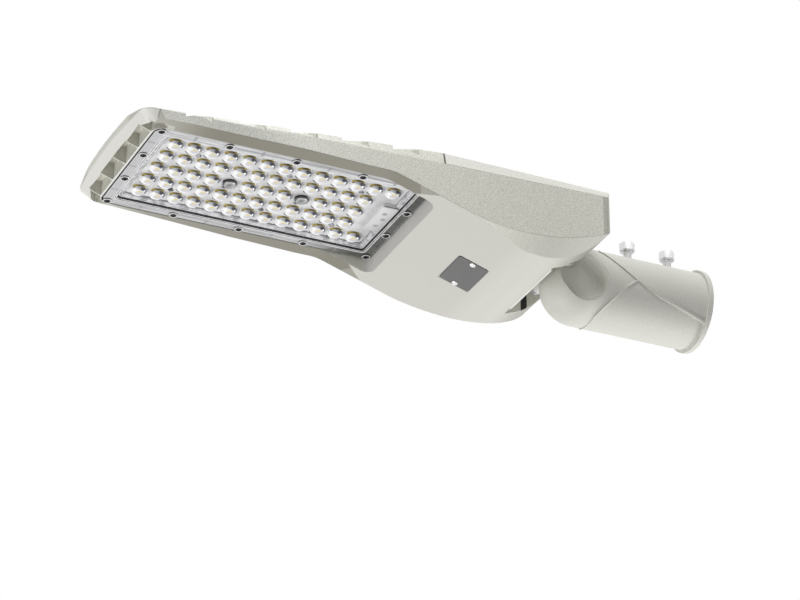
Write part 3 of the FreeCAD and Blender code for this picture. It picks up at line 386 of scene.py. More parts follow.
# %% Powder coat
COVER_TONE = (0.84, 0.835, 0.77)
JOINT_TONE = (0.07, 0.07, 0.06)
SPIGOT_TONE = (0.67, 0.665, 0.61)
CLOUD_MM = 70.0
TOP_COVER_FRONT_S = (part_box("top_cover")[0][0] - FIRST_LENS_X) / MM
JOINT_S = (TOP_COVER_FRONT_S + 0.9, TOP_COVER_FRONT_S + 1.3)


def speckle(tree, tone, grain_mm, grain, amount=1.0):
    """Tone broken up by powder grains; returns the colour and the grains."""
    coords = object_coords(tree)
    grains = noise(tree, coords, grain_mm, 1.5)
    cloud = noise(tree, coords, CLOUD_MM, 2.0)
    sharp = stretch(tree, grains, 0.32, 0.68)
    shade = stretch(tree, sharp, 0.0, 1.0, 1.0 - grain, 1.0 + grain * 0.7)
    shade = calc(tree, "MULTIPLY", shade, stretch(tree, cloud, 0.3, 0.7, 0.97, 1.02))
    if not isinstance(amount, (int, float)):
        shade = calc(tree, "MULTIPLY_ADD", calc(tree, "SUBTRACT", shade, 1.0), amount, 1.0)
    return blend_tone(tree, 1.0, tone, as_grey(tree, shade), "MULTIPLY"), grains


def powder_coat(name, tone, grain_mm=0.9, grain=0.10, edge_mm=0.8):
    finish, tree, shader = new_finish(name)
    colour, grains = speckle(tree, tone, grain_mm, grain)
    tree.links.new(colour, shader.inputs["Base Color"])
    shader.inputs["Roughness"].default_value = 0.5
    normal = bump(tree, grains, 0.10, 0.4, soft_edges(tree, edge_mm))
    tree.links.new(normal, shader.inputs["Normal"])
    return finish


def cover_coat():
    finish = powder_coat("cover_powder_coat", COVER_TONE, grain=0.05)
    tree = finish.node_tree
    shader = tree.nodes["Principled BSDF"]
    s, y, h = stations(tree)
    coat = shader.inputs["Base Color"].links[0].from_socket
    colour = blend_tone(tree, fade_out(tree, s, JOINT_S), coat, JOINT_TONE)
    tree.links.new(colour, shader.inputs["Base Color"])
    return finish


dress("top_cover", cover_coat())
dress("spigot", powder_coat("spigot_powder_coat", SPIGOT_TONE, 0.6, 0.045, edge_mm=1.2))
print("cover joint at station:", round(TOP_COVER_FRONT_S, 1))

# %% [markdown]
# ## Zones of the casting
#
# A real casting isn't the same all over. The side walls keep the sandy grain of the die, while
# the lens side is nearly smooth. The pockets in front of the rims show a tone of their own. The
# rims beside the lenses, the round tail, the rear edge and the crease behind the front skirt are
# painted darker, as painted shade, and the side walls lighter towards the front, as painted light.
# We could split the mesh to paint those zones; masks made from the stations and the surface
# direction do the same and leave it alone. Each pair of numbers below is the span over which a
# zone fades in or out.

# %% Masks of the zones
# Parts of the surface direction: across, along and up
DOWN_UP = (-0.35, -0.15)
FLAT_DOWN_UP = (-0.86, -0.78)
LEVEL_UP = (0.1, 0.3)
CHIN_PART = (-0.6, -0.5)
WALL_SIDE = (0.78, 0.84)
SLANT_SIDE = (0.42, 0.80)
TAIL_ALONG = (0.15, 0.65)
# Stations, offsets from the middle and heights, in millimetres
INNER_Y = (73.0, 75.0)
FRONT_END_S = (-46.0, -45.5)
SKIRT_S = (-29.5, -28.5)
SKIRT_H = (8.0, 9.0)
BELLY_S = (242.0, 250.0)
TAIL_S = (300.0, 310.0)
REAR_EDGE_S = (388.6, 389.4)
WALL_FADE_S = (-20.0, 280.0)
RIM_INNER_Y = 71.1
RIM_REAR_S = 212.4
RIM_END_SLANT = 1.2
RIM_TURN_SLANT = -0.52
RIM_TURN_S = RIM_REAR_S + 43.0
CORNER_Y = 62.0
CORNER_S = (-14.0, -12.0)
CORNER_WALL_S = (-28.0, -12.0)
POCKET_S = (-45.5, -28.6)
POCKET_H = (-2.6, -1.8)
RIB_S = (-46.5, -27.6)
RECESS_REAR_S = (225.0, 262.0)
SEAT_S = (225.0, 240.0)
CREASE_SHADE_S = (-29.8, -28.6)
MOUTH_Y = (40.6, 41.2)
MOUTH_H = (-30.0, -29.0)
LIP_S = (357.9, 360.7)
SLOT_WIDTH = 0.9


def rim_mask(tree, s, off_centre, faces):
    """Rims beside the lens module; their rear ends are cut on a slant."""
    rim_end = calc(tree, "MULTIPLY_ADD", off_centre, RIM_END_SLANT, RIM_REAR_S - RIM_END_SLANT * RIM_INNER_Y)
    corner = both(tree, fade_out(tree, s, CORNER_S), fade_in(tree, off_centre, (CORNER_Y, CORNER_Y + 1.0)))
    beside = stretch(tree, off_centre, RIM_INNER_Y - 0.1, RIM_INNER_Y + 0.1)
    return both(tree, faces, calc(tree, "MAXIMUM", corner, beside),
                stretch(tree, calc(tree, "SUBTRACT", rim_end, s), -0.4, 0.4), stretch(tree, s, -46.5, -45.5))


def casting_zones(tree, s, off_centre, h):
    """Masks of the zones, in the order in which they are painted, and those of the grain."""
    side, along, up = facing(tree)
    down = fade_out(tree, up, DOWN_UP)
    flat_down = fade_out(tree, up, FLAT_DOWN_UP)
    not_up = fade_out(tree, up, LEVEL_UP)
    chin = both(tree, fade_out(tree, along, CHIN_PART), fade_out(tree, up, CHIN_PART))
    inside = both(tree, fade_out(tree, off_centre, INNER_Y), fade_in(tree, s, FRONT_END_S), not_up,
                  opposite(tree, chin))
    outside = opposite(tree, inside)
    wall = both(tree, outside, fade_in(tree, side, WALL_SIDE))
    front = fade_out(tree, s, SKIRT_S)
    lifted = both(tree, chin, stretch(tree, s, -32.0, -30.0))
    mouth = both(tree, fade_out(tree, off_centre, MOUTH_Y), fade_out(tree, h, MOUTH_H))
    in_pocket = both(tree, between(tree, s, *POCKET_S, 0.4), inside, fade_in(tree, h, POCKET_H))
    crease_shade = both(tree, outside, between(tree, s, *CREASE_SHADE_S, 0.3), stretch(tree, side, 0.6, 0.7))
    # The lit front of the side walls is painted light; the tail, the rear edge, the rims and the crease
    # behind the skirt are painted shade.
    zones = {
        "front_wall": both(tree, wall, fade_out(tree, s, WALL_FADE_S)),
        "smooth": both(tree, down, opposite(tree, wall)),
        "tail": both(tree, down, fade_in(tree, along, TAIL_ALONG), fade_in(tree, s, TAIL_S)),
        "rear_edge_shade": both(tree, stretch(tree, side, 0.25, 0.35), fade_in(tree, s, REAR_EDGE_S), outside),
        "skirt": both(tree, front, fade_out(tree, h, SKIRT_H), outside),
        "crescent": both(tree, between(tree, side, *SLANT_SIDE, 0.04), down, fade_in(tree, s, BELLY_S)),
        "rim": rim_mask(tree, s, off_centre, calc(tree, "MAXIMUM", flat_down, lifted)),
        "corner_wall": both(tree, between(tree, s, *CORNER_WALL_S, 0.3),
                            between(tree, off_centre, CORNER_Y, INNER_Y[1], 0.2),
                            stretch(tree, h, 1.0, 2.0, 1.0, 0.0), not_up),
        "in_pocket": in_pocket,
        "pocket": both(tree, in_pocket, calc(tree, "MAXIMUM", flat_down, stretch(tree, side, 0.7, 0.8))),
        "rib_edge": both(tree, between(tree, s, *RIB_S, 0.2), inside, flat_down,
                         stretch(tree, h, -2.6, -2.2, 1.0, 0.0)),
        "recess_wall": both(tree, inside, stretch(tree, calc(tree, "ABSOLUTE", along), 0.3, 0.5),
                            between(tree, s, *RECESS_REAR_S, 1.0), stretch(tree, h, -20.0, -18.0)),
        "lip": both(tree, mouth, between(tree, s, *LIP_S, 0.2)),
        "slot": both(tree, mouth, between(tree, s, LIP_S[0] - SLOT_WIDTH, LIP_S[0], 0.15)),
        "seat": both(tree, inside, stretch(tree, h, -3.2, -2.6), between(tree, off_centre, -1.0, 70.9, 0.2),
                     between(tree, s, *SEAT_S, 1.0)),
        "crease_shade": calc(tree, "MULTIPLY", crease_shade, 0.6),
    }
    sandy = calc(tree, "MAXIMUM", both(tree, wall, opposite(tree, front)),
                 calc(tree, "MULTIPLY", zones["crescent"], 0.45))
    return zones, calc(tree, "MAXIMUM", sandy, stretch(tree, up, 0.3, 0.5, 0.0, 0.6))


print("rims end at station:", RIM_REAR_S)

# %% [markdown]
# ## Painting the casting
#
# With the masks at hand the paint goes on in layers, as a painter would lay it: each zone
# covers what was painted before it, so a small zone comes after the large one that it lies
# in. The same masks say how sandy the skin is there, which sets its grain and its gloss.

# %% Casting coat
COAT_TONE = (0.77, 0.77, 0.685)
# Painted light: the side walls are painted lighter towards the front, where they lean down into the light
# from below.
COAT_FRONT_LIGHT_TONE = (0.94, 0.94, 0.87)
CRESCENT_TONE = (0.84, 0.84, 0.755)
CRESCENT_REAR_TONE = (0.58, 0.575, 0.515)
CRESCENT_FADE_S = (270.0, 350.0)
# Painted shade: the rims are dark, paler at their front where they turn towards the light, and less dark past
# the slanted line at their rear.
RIM_SHADE_TONE = (0.24, 0.228, 0.185)
RIM_END_SHADE_TONE = (0.36, 0.35, 0.30)
RIM_FRONT_SHADE_TONE = (0.46, 0.45, 0.39)
RIM_FADE_S = (-30.0, 30.0)
SEAT_TONE = (0.72, 0.71, 0.68)
ZONE_TONES = {
    "smooth": (0.625, 0.615, 0.565),
    # Painted shade: the round tail is darker where it turns away from the light and meets the spigot.
    "tail": (0.36, 0.35, 0.305),
    # Painted shade: a darker band along the rear vertical edge.
    "rear_edge_shade": (0.54, 0.53, 0.47),
    "skirt": (0.82, 0.81, 0.765),
    "corner_wall": (0.60, 0.59, 0.53),
    "in_pocket": (0.62, 0.61, 0.555),
    "pocket": (0.70, 0.69, 0.62),
    "rib_edge": (0.88, 0.875, 0.85),
    "recess_wall": SEAT_TONE,
    "lip": (0.80, 0.80, 0.78),
    "slot": (0.16, 0.155, 0.14),
    "seat": SEAT_TONE,
    # Painted shade: a dark line in the crease where the front skirt meets the side wall.
    "crease_shade": RIM_SHADE_TONE,
}


def rim_shade_colour(tree, s, off_centre):
    """Painted shade along the rim: dark along it, paler at its front and past the slanted line at its rear.
    """
    turn = calc(tree, "MULTIPLY_ADD", off_centre, RIM_TURN_SLANT, RIM_TURN_S)
    colour = blend_tone(tree, fade_in(tree, s, RIM_FADE_S), RIM_FRONT_SHADE_TONE, RIM_SHADE_TONE)
    past = stretch(tree, calc(tree, "SUBTRACT", s, turn), -0.5, 0.5)
    return blend_tone(tree, past, colour, RIM_END_SHADE_TONE)


def casting_coat():
    finish, tree, shader = new_finish("casting_powder_coat")
    s, y, h = stations(tree)
    off_centre = calc(tree, "ABSOLUTE", y)
    zones, sandy = casting_zones(tree, s, off_centre, h)
    tone = blend_tone(tree, zones.pop("front_wall"), COAT_TONE, COAT_FRONT_LIGHT_TONE)
    tones = dict(ZONE_TONES)
    tones["rim"] = rim_shade_colour(tree, s, off_centre)
    tones["crescent"] = blend_tone(tree, fade_in(tree, s, CRESCENT_FADE_S), CRESCENT_TONE, CRESCENT_REAR_TONE)
    for zone, mask in zones.items():
        tone = blend_tone(tree, mask, tone, tones[zone])
    amount = calc(tree, "MULTIPLY_ADD", sandy, 0.9, 0.10)
    colour, grains = speckle(tree, tone, 0.55, 0.15, amount)
    tree.links.new(colour, shader.inputs["Base Color"])
    tree.links.new(stretch(tree, sandy, 0.0, 1.0, 0.42, 0.62), shader.inputs["Roughness"])
    lift = calc(tree, "MULTIPLY", grains, amount)
    tree.links.new(bump(tree, lift, 0.14, 0.5, soft_edges(tree, 0.9)), shader.inputs["Normal"])
    return finish


dress("main_housing", casting_coat())
print("zones painted:", len(ZONE_TONES) + 3)

# %% [markdown]
# ## Metal, rubber and plastic
#
# The screws are zinc plated: bright, slightly uneven. The plate is a dull anodised sheet with
# fine brushing. Rubber and nylon are nearly black and never perfectly smooth. The gear inside
# the closed compartment gets its finish too, for whoever opens the model.

# %% Small-part finishes
def plated_metal(name, tone, roughness=0.28, blotch_mm=3.0):
    finish, tree, shader = new_finish(name)
    cloud = noise(tree, object_coords(tree), blotch_mm, 3.0)
    dark = [c * 0.86 for c in tone]
    tree.links.new(blend_tone(tree, cloud, dark, tone), shader.inputs["Base Color"])
    rough = stretch(tree, cloud, 0.3, 0.7, roughness, roughness + 0.14)
    tree.links.new(rough, shader.inputs["Roughness"])
    tree.links.new(soft_edges(tree, 0.3), shader.inputs["Normal"])
    shader.inputs["Metallic"].default_value = 0.75
    return finish


def moulded(name, tone, roughness=0.6, grain_mm=0.8):
    finish, tree, shader = new_finish(name)
    grains = noise(tree, object_coords(tree), grain_mm, 2.0)
    light = [min(1.0, c * 1.15 + 0.003) for c in tone]
    tree.links.new(blend_tone(tree, grains, tone, light), shader.inputs["Base Color"])
    shader.inputs["Roughness"].default_value = roughness
    normal = bump(tree, grains, 0.05, 0.4, soft_edges(tree, 0.4))
    tree.links.new(normal, shader.inputs["Normal"])
    return finish


def brushed(name, tone, squeeze, metallic=0.7):
    """Sheet metal with fine lines; squeeze shortens the noise along the brushing."""
    finish, tree, shader = new_finish(name)
    mapping = tree.nodes.new("ShaderNodeMapping")
    mapping.inputs["Scale"].default_value = squeeze
    tree.links.new(object_coords(tree), mapping.inputs["Vector"])
    lines = noise(tree, mapping.outputs[0], 0.35, 3.0)
    dark = [c * 0.85 for c in tone]
    light = [c * 1.12 for c in tone]
    tree.links.new(blend_tone(tree, lines, dark, light), shader.inputs["Base Color"])
    tree.links.new(stretch(tree, lines, 0.3, 0.7, 0.34, 0.5), shader.inputs["Roughness"])
    shader.inputs["Metallic"].default_value = metallic
    return finish


zinc = plated_metal("zinc_plating", (0.80, 0.80, 0.82))
rubber = moulded("seal_rubber", (0.016, 0.016, 0.016), 0.7)
nylon = moulded("black_nylon", (0.03, 0.03, 0.03), 0.5)
for node in ("cover_screws", "tray_screws", "pivot_bolt", "pivot_washers", "pivot_nut"):
    dress(node, zinc)
for node in ("cover_gasket", "lens_gasket", "wire_grommet", "tunnel_curtains"):
    dress(node, rubber)
for node in ("cable_gland", "gland_locknut", "surge_protector"):
    dress(node, nylon)
dress("terminal_block", moulded("pale_nylon", (0.7, 0.7, 0.66), 0.5))
dress("gear_tray", plated_metal("galvanised_sheet", (0.6, 0.61, 0.63), 0.4, 9.0))
dress("led_driver", brushed("driver_extrusion", (0.62, 0.63, 0.64), (1.0, 0.05, 1.0), 0.6))
dress("led_board", moulded("white_solder_mask", (0.75, 0.75, 0.74), 0.35, 0.3))
dress("led_chips", moulded("yellow_phosphor", (0.82, 0.60, 0.08), 0.45, 0.2))
print("finishes so far:", len(bpy.data.materials))

# %% [markdown]
# ## Building meshes from rings
#
# Mouldings, lenses and screws share one way of making: rings of points, stacked one after
# another and joined by faces. Blender's lathe and bevel tools could make some of them, but a
# stack of rings gives full control of each step of the profile, and every mesh comes out
# closed, with its faces looking outwards. `Shape` collects points and faces, and `finish`
# numbers say which of the piece's materials a face takes.

# %% Ring builder
class Shape:
    """A mesh in the making: points in metres, faces, and the finish number of each face."""

    def __init__(self):
        self.points = []
        self.faces = []
        self.paint = []

    def stack(self, rings, paint=0, loop=False):
        """Join rings of equal count; loop joins the last to the first, else both ends close."""
        first = len(self.points)
        count = len(rings[0])
        paints = paint if isinstance(paint, (list, tuple)) else [paint] * len(rings)
        for ring in rings:
            self.points.extend(ring)
        pairs = list(range(len(rings) if loop else len(rings) - 1))
        for low in pairs:
            high = (low + 1) % len(rings)
            for i in range(count):
                j = (i + 1) % count
                a, b = first + low * count, first + high * count
                self.faces.append((a + i, a + j, b + j, b + i))
                self.paint.append(paints[low])
        if not loop:
            last = first + (len(rings) - 1) * count
            self.faces.append(tuple(range(first, first + count)))
            self.faces.append(tuple(range(last, last + count)))
            self.paint += [paints[0], paints[-1]]

    def piece(self, name, body, finishes, replaced=(), smooth_angle=35.0):
        mesh = bpy.data.meshes.new(name)
        mesh.from_pydata([tuple(p) for p in self.points], [], self.faces)
        for finish in finishes:
            mesh.materials.append(finish)
        for polygon, paint in zip(mesh.polygons, self.paint):
            polygon.material_index = paint
        work = bmesh.new()
        work.from_mesh(mesh)
        bmesh.ops.recalc_face_normals(work, faces=work.faces)
        limit = math.radians(smooth_angle)
        for edge in work.edges:
            edge.smooth = len(edge.link_faces) == 2 and edge.calc_face_angle() < limit
        for face in work.faces:
            face.smooth = True
        work.to_mesh(mesh)
        work.free()
        thing = bpy.data.objects.new(name, mesh)
        bpy.context.collection.objects.link(thing)
        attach(thing, body)
        if replaced:
            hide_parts(*replaced)
        print(name, "faces:", len(mesh.polygons))
        return thing


def lathe(profile, place, sides=24, wave=None):
    """Rings about an axis; profile holds (radius, height) and place(x, y, height) sets a point."""
    rings = []
    for index, (radius, height) in enumerate(profile):
        ring = []
        for i in range(sides):
            turn = 2 * math.pi * i / sides
            reach = radius * (wave(turn) if wave and index >= len(profile) - 2 else 1.0)
            ring.append(place(reach * math.cos(turn), reach * math.sin(turn), height))
        rings.append(ring)
    return rings


def hanging(s, y, h):
    """Place for a lathe whose axis hangs down from a point of the head."""
    return lambda across, beside, depth: head(s + across, y + beside, h - depth)


def rounded_outline(low, high, half, corner, steps):
    """Points (along, across) round a rectangle with round corners."""
    centres = ((high - corner, half - corner), (low + corner, half - corner),
               (low + corner, corner - half), (high - corner, corner - half))
    points = []
    for quarter, (along, across) in enumerate(centres):
        for step in range(steps + 1):
            turn = math.pi / 2 * (quarter + step / steps)
            points.append((along + corner * math.cos(turn), across + corner * math.sin(turn)))
    return points


print("ring builder ready")

# %% [markdown]
# ## Clear mouldings, painted as we see them
#
# The lens plate is one clear moulding over a white board. Real glass shading over sixty tiny
# lenses is slow and grainy, and at this size the eye only catches a few tones in it: the white
# of the board, a grey ghost of the wall behind, thin black lines where light is bent away, and
# gold where the yellow light source is mirrored in the lens's edge. So we paint those tones on
# a solid shape at the places where the plastic makes them, under a clear glossy coat.

# %% Clear-plastic finishes
FRAME_FRONT_S = -14.0
FRAME_REAR_S = 221.0
COLUMN_PITCH = 17.0
ROW_PITCH = 21.715


def glossy(shader, roughness=0.25):
    shader.inputs["Roughness"].default_value = roughness
    shader.inputs["Coat Weight"].default_value = 0.5
    shader.inputs["Coat Roughness"].default_value = 0.06


def sheet_finish():
    """Clear sheet over the white board, with faint clouded tones."""
    finish, tree, shader = new_finish("clear_sheet")
    cloud = noise(tree, object_coords(tree), 9.0, 2.0)
    mottle = stretch(tree, cloud, 0.35, 0.65)
    tone = blend_tone(tree, mottle, (0.56, 0.56, 0.57), (0.72, 0.72, 0.725))
    s, y, h = stations(tree)
    u = calc(tree, "ADD", calc(tree, "WRAP", s, COLUMN_PITCH / 2, -COLUMN_PITCH / 2), 2.0)
    v = calc(tree, "ADD", calc(tree, "WRAP", y, ROW_PITCH, 0.0), -10.6)
    along = calc(tree, "ABSOLUTE", calc(tree, "MULTIPLY_ADD", u, 0.81, calc(tree, "MULTIPLY", v, 0.58)))
    across = calc(tree, "ABSOLUTE", calc(tree, "MULTIPLY_ADD", u, -0.58, calc(tree, "MULTIPLY", v, 0.81)))
    # Painted shadow: a short dark dash on the sheet beside each lens.
    lens_shadow_dash = both(tree, stretch(tree, along, 2.0, 2.9, 1.0, 0.0), stretch(tree, across, 0.5, 1.0, 1.0, 0.0),
                stretch(tree, s, 194.0, 197.0, 1.0, 0.0))
    tone = blend_tone(tree, lens_shadow_dash, tone, (0.05, 0.05, 0.055))
    tree.links.new(tone, shader.inputs["Base Color"])
    glossy(shader)
    return finish


def flange_finish():
    """Flange: light over the bright casting, dark and glassy at the rear, with moulding ticks; darker towards
    the far side, as painted refraction and shade.
    """
    finish, tree, shader = new_finish("clear_flange")
    s, y, h = stations(tree)
    off_centre = calc(tree, "ABSOLUTE", y)
    at_rear = stretch(tree, s, FRAME_REAR_S - 0.4, FRAME_REAR_S + 0.2)
    at_front = stretch(tree, s, FRAME_FRONT_S - 0.2, FRAME_FRONT_S + 0.4, 1.0, 0.0)
    streaks = tree.nodes.new("ShaderNodeMapping")
    streaks.inputs["Scale"].default_value = (0.05, 1.0, 1.0)
    tree.links.new(object_coords(tree), streaks.inputs["Vector"])
    lines = stretch(tree, noise(tree, streaks.outputs[0], 1.6, 2.0), 0.38, 0.62)
    tone = blend_tone(tree, lines, (0.32, 0.32, 0.33), (0.70, 0.70, 0.71))
    # Painted refraction and shade: the flange is darker towards the far side, and near black at its far rear.
    tone = blend_tone(tree, stretch(tree, y, 50.0, 62.0, 0.0, 0.5), tone, (0.28, 0.28, 0.29))
    tone = blend_tone(tree, at_front, tone, (0.50, 0.50, 0.51))
    patch = stretch(tree, noise(tree, object_coords(tree), 14.0, 1.0), 0.3, 0.7)
    tone = blend_tone(tree, at_rear, tone, blend_tone(tree, patch, (0.05, 0.05, 0.046), (0.10, 0.10, 0.094)))
    far = both(tree, stretch(tree, y, 58.0, 60.0), stretch(tree, s, 150.0, 215.0))
    tone = blend_tone(tree, far, tone, (0.09, 0.09, 0.082))
    ticks = calc(tree, "ABSOLUTE", calc(tree, "WRAP", off_centre, 22.2, -22.2))
    ends = calc(tree, "MAXIMUM", at_rear, at_front)
    ticks = both(tree, ends, stretch(tree, ticks, 0.5, 1.1, 0.8, 0.0))
    tone = blend_tone(tree, ticks, tone, blend_tone(tree, at_rear, (0.28, 0.28, 0.29), (0.03, 0.03, 0.03)))
    along = calc(tree, "ABSOLUTE", calc(tree, "WRAP", calc(tree, "ADD", s, 20.6), 31.0, -31.0))
    side_ticks = both(tree, calc(tree, "SUBTRACT", 1.0, ends), stretch(tree, along, 28.8, 30.6, 0.0, 0.7))
    tone = blend_tone(tree, side_ticks, tone, (0.25, 0.25, 0.26))
    tree.links.new(tone, shader.inputs["Base Color"])
    glossy(shader, 0.2)
    return finish


def gap_finish():
    """Edge of the plate: a black gap, but bright on the near side where light runs along it."""
    finish, tree, shader = new_finish("plate_edge_gap")
    s, y, h = stations(tree)
    bright = stretch(tree, y, -69.5, -66.0, 1.0, 0.0)
    tree.links.new(blend_tone(tree, bright, (0.008, 0.008, 0.008), (0.50, 0.50, 0.50)),
                   shader.inputs["Base Color"])
    shader.inputs["Roughness"].default_value = 0.5
    return finish


def plain_clear(name, tone, low_tone=None):
    """Clear plastic of one tone, clouded a little."""
    finish, tree, shader = new_finish(name)
    cloud = stretch(tree, noise(tree, object_coords(tree), 3.0, 2.0), 0.35, 0.65)
    low = low_tone or tuple(c * 0.86 for c in tone)
    tree.links.new(blend_tone(tree, cloud, low, tone), shader.inputs["Base Color"])
    glossy(shader)
    return finish


dark_line = plain_clear("dark_refraction", (0.03, 0.03, 0.032), (0.008, 0.008, 0.009))
light_rib = plain_clear("light_rib", (0.78, 0.78, 0.79))
inner_wall = plain_clear("inner_wall", (0.62, 0.62, 0.64), (0.25, 0.25, 0.27))
groove_clear = plain_clear("clear_groove", (0.30, 0.30, 0.31), (0.14, 0.14, 0.15))
edge_gap = gap_finish()
flange_clear = flange_finish()
sheet_clear = sheet_finish()
print("clear finishes:", [m.name for m in (dark_line, light_rib, inner_wall, flange_clear, sheet_clear)])

# %% [markdown]
# ## The frame of the lens plate
#
# Around the lenses runs a stepped border: a flat flange that the screws pull down, two thin
# ribs, and two steps up to the sheet. An artist could extrude a curve with this profile, but
# then the four corners would need care. Here each point of the profile becomes one ring round
# the whole plate, and the ring's corners shrink with it, as they do in the real tool.

# %% Frame and sheet
MODULE_FRONT_S = -26.4
MODULE_REAR_S = 232.6
MODULE_HALF = 70.4
MODULE_CORNER = 9.0
CORNER_STEPS = 7
# Profile from the outer edge inwards: distance in, height and finish of the face that follows
DARK, FLANGE, RIB, WALL, GROOVE, GAP = range(6)
FRAME_PROFILE = (
    (0.0, -0.4, GAP), (0.0, -2.6, GAP), (1.0, -3.25, RIB), (1.4, -3.4, FLANGE), (8.7, -3.4, RIB),
    (8.95, -3.65, RIB), (9.5, -3.65, RIB), (9.75, -3.35, GROOVE), (10.6, -3.1, RIB), (10.9, -3.2, RIB),
    (11.4, -3.1, DARK), (11.7, -1.3, DARK), (12.5, -1.3, RIB), (13.1, -1.2, WALL), (14.6, -0.7, RIB),
    (15.1, -0.6, WALL), (16.8, 0.6, GROOVE), (17.1, 1.7, DARK), (17.1, 3.4, DARK), (12.3, 3.4, DARK),
    (12.3, -0.4, DARK))


def rounded_ring(inset, h):
    """Points round the module at a distance inside its outline."""
    corner = max(3.0, MODULE_CORNER - inset * 0.5)
    outline = rounded_outline(MODULE_FRONT_S + inset, MODULE_REAR_S - inset, MODULE_HALF - inset, corner,
                              CORNER_STEPS)
    return [head(s, y, h) for s, y in outline]


lens_frame = Shape()
lens_frame.stack([rounded_ring(inset, h) for inset, h, paint in FRAME_PROFILE],
                 [paint for inset, h, paint in FRAME_PROFILE], loop=True)
lens_frame.piece("lens_frame", "lamp_head",
                 [dark_line, flange_clear, light_rib, inner_wall, groove_clear, edge_gap], ["lens_plate"])
lens_sheet = Shape()
lens_sheet.stack([rounded_ring(16.9, SHEET_H), rounded_ring(16.9, SHEET_H + 1.8)])
lens_sheet.piece("lens_sheet", "lamp_head", [sheet_clear], ["lens_plate"])

# %% [markdown]
# ## Sixty lenses
#
# Each lens is a low dome that spreads the light of one LED along the road. The outer rows have
# thirteen lenses and the others twelve, less two places in the middle row for screws. All domes
# are one mesh, and one material paints them all. It works because the lenses stand on a grid:
# a Wrap node folds the stations back to the middle of the nearest lens, so the shader needs
# no texture map. The tones sit where the moulding makes them: gold and blue-grey round the
# foot on the side of the LED's mirror image, a dark bend opposite, and the LED itself inside.

# %% Lens domes
ROWS = (13, 12, 12, 12, 13)
FIXING_COLUMNS = (4, 8)
LENS_R = 7.75
LENS_DROP = 5.2
DOME_RINGS = 7
# Direction in which we look at the lens field: picture right and picture down per millimetre
RIGHT_PER_MM = (1.02, -0.534, 0.0)
DOWN_PER_MM = (0.23, 0.50, -1.03)
# Besides the yellow LED seen through the dome, these spots are painted reflection and shade.
# Spots seen in each lens: place right and down of its middle, reach, softness and tone
LENS_SPOTS = (
    ((4.8, 5.6), (3.6, 2.2), 0.35, (0.66, 0.66, 0.69)),
    ((0.6, 4.8), (4.0, 1.7), 0.35, (0.60, 0.60, 0.63)),
    ((1.4, 3.2), (2.5, 1.1), 0.25, (0.76, 0.67, 0.40)),
    ((7.4, 3.2), (1.5, 3.4), 0.35, (0.14, 0.14, 0.17)),
    ((5.3, 0.5), (2.1, 1.8), 0.35, (0.045, 0.05, 0.075)),
    ((-3.3, -1.5), (1.5, 0.5), 0.35, (0.10, 0.10, 0.13)),
)


def lens_spots():
    return [(column * COLUMN_PITCH, (row - 2) * ROW_PITCH)
            for row, columns in enumerate(ROWS) for column in range(columns)
            if row != 2 or column not in FIXING_COLUMNS]


def lens_finish():
    finish, tree, shader = new_finish("clear_lens_dome")
    s, y, h = stations(tree)
    u = calc(tree, "WRAP", s, COLUMN_PITCH / 2, -COLUMN_PITCH / 2)
    v = calc(tree, "WRAP", y, ROW_PITCH / 2, -ROW_PITCH / 2)
    depth = calc(tree, "SUBTRACT", SHEET_H, h)
    w = calc(tree, "MULTIPLY", depth, -1.0)

    def seen(shares):
        total = calc(tree, "MULTIPLY", u, shares[0])
        total = calc(tree, "MULTIPLY_ADD", v, shares[1], total)
        return calc(tree, "MULTIPLY_ADD", w, shares[2], total)

    right, down = seen(RIGHT_PER_MM), seen(DOWN_PER_MM)

    def spot(at, reach, soft):
        """Mask of an ellipse at a place across the lens."""
        across = calc(tree, "MULTIPLY", calc(tree, "SUBTRACT", right, at[0]), 1 / reach[0])
        high = calc(tree, "MULTIPLY", calc(tree, "SUBTRACT", down, at[1]), 1 / reach[1])
        return stretch(tree, distance(tree, across, high), 1.0 - soft, 1.0 + soft, 1.0, 0.0)

    turn = calc(tree, "ARCTAN2", v, u)

    def foot(low_turn, high_turn, low_depth, high_depth):
        """Mask of an arc round the foot of the dome."""
        return both(tree, between(tree, turn, math.radians(low_turn), math.radians(high_turn), 0.06),
                    between(tree, depth, low_depth, high_depth, 0.25))

    # Painted light and shade: white glare over the board in the upper left of each dome, grey shade towards
    # its right.
    edge = calc(tree, "MULTIPLY_ADD", right, -0.54, down)
    upper = both(tree, stretch(tree, edge, 0.1, 0.5, 1.0, 0.0), spot((1.2, -0.4), (6.6, 4.6), 0.35))
    shadow = blend_tone(tree, stretch(tree, right, -2.0, 6.0), (0.66, 0.67, 0.70), (0.30, 0.31, 0.34))
    tone = blend_tone(tree, upper, (0.97, 0.97, 0.97), shadow)
    for at, reach, soft, paint in LENS_SPOTS:
        tone = blend_tone(tree, spot(at, reach, soft), tone, paint)
    gold = blend_tone(tree, stretch(tree, turn, -2.5, -1.7), (0.55, 0.42, 0.06), (0.20, 0.15, 0.02))
    gold = blend_tone(tree, stretch(tree, turn, -1.5, -1.1), gold, (0.50, 0.40, 0.06))
    tone = blend_tone(tree, foot(-152.0, -58.0, -0.5, 1.7), tone, gold)
    tree.links.new(tone, shader.inputs["Base Color"])
    glossy(shader, 0.12)
    return finish


def dome_profile():
    """Radius and depth of a full, smooth dome, from its foot to its crown."""
    steps = [math.pi / 2 * i / DOME_RINGS for i in range(DOME_RINGS)] + [1.53]
    dome = [(LENS_R * math.cos(a) ** 0.62, LENS_DROP * math.sin(a)) for a in steps]
    return [(LENS_R, -0.6)] + dome


domes = Shape()
for lens_s, lens_y in lens_spots():
    domes.stack(lathe(dome_profile(), hanging(lens_s, lens_y, SHEET_H), 28))
domes.piece("lens_domes", "lamp_head", [lens_finish()], ["lens_plate"], 60.0)
print("lenses:", len(lens_spots()))

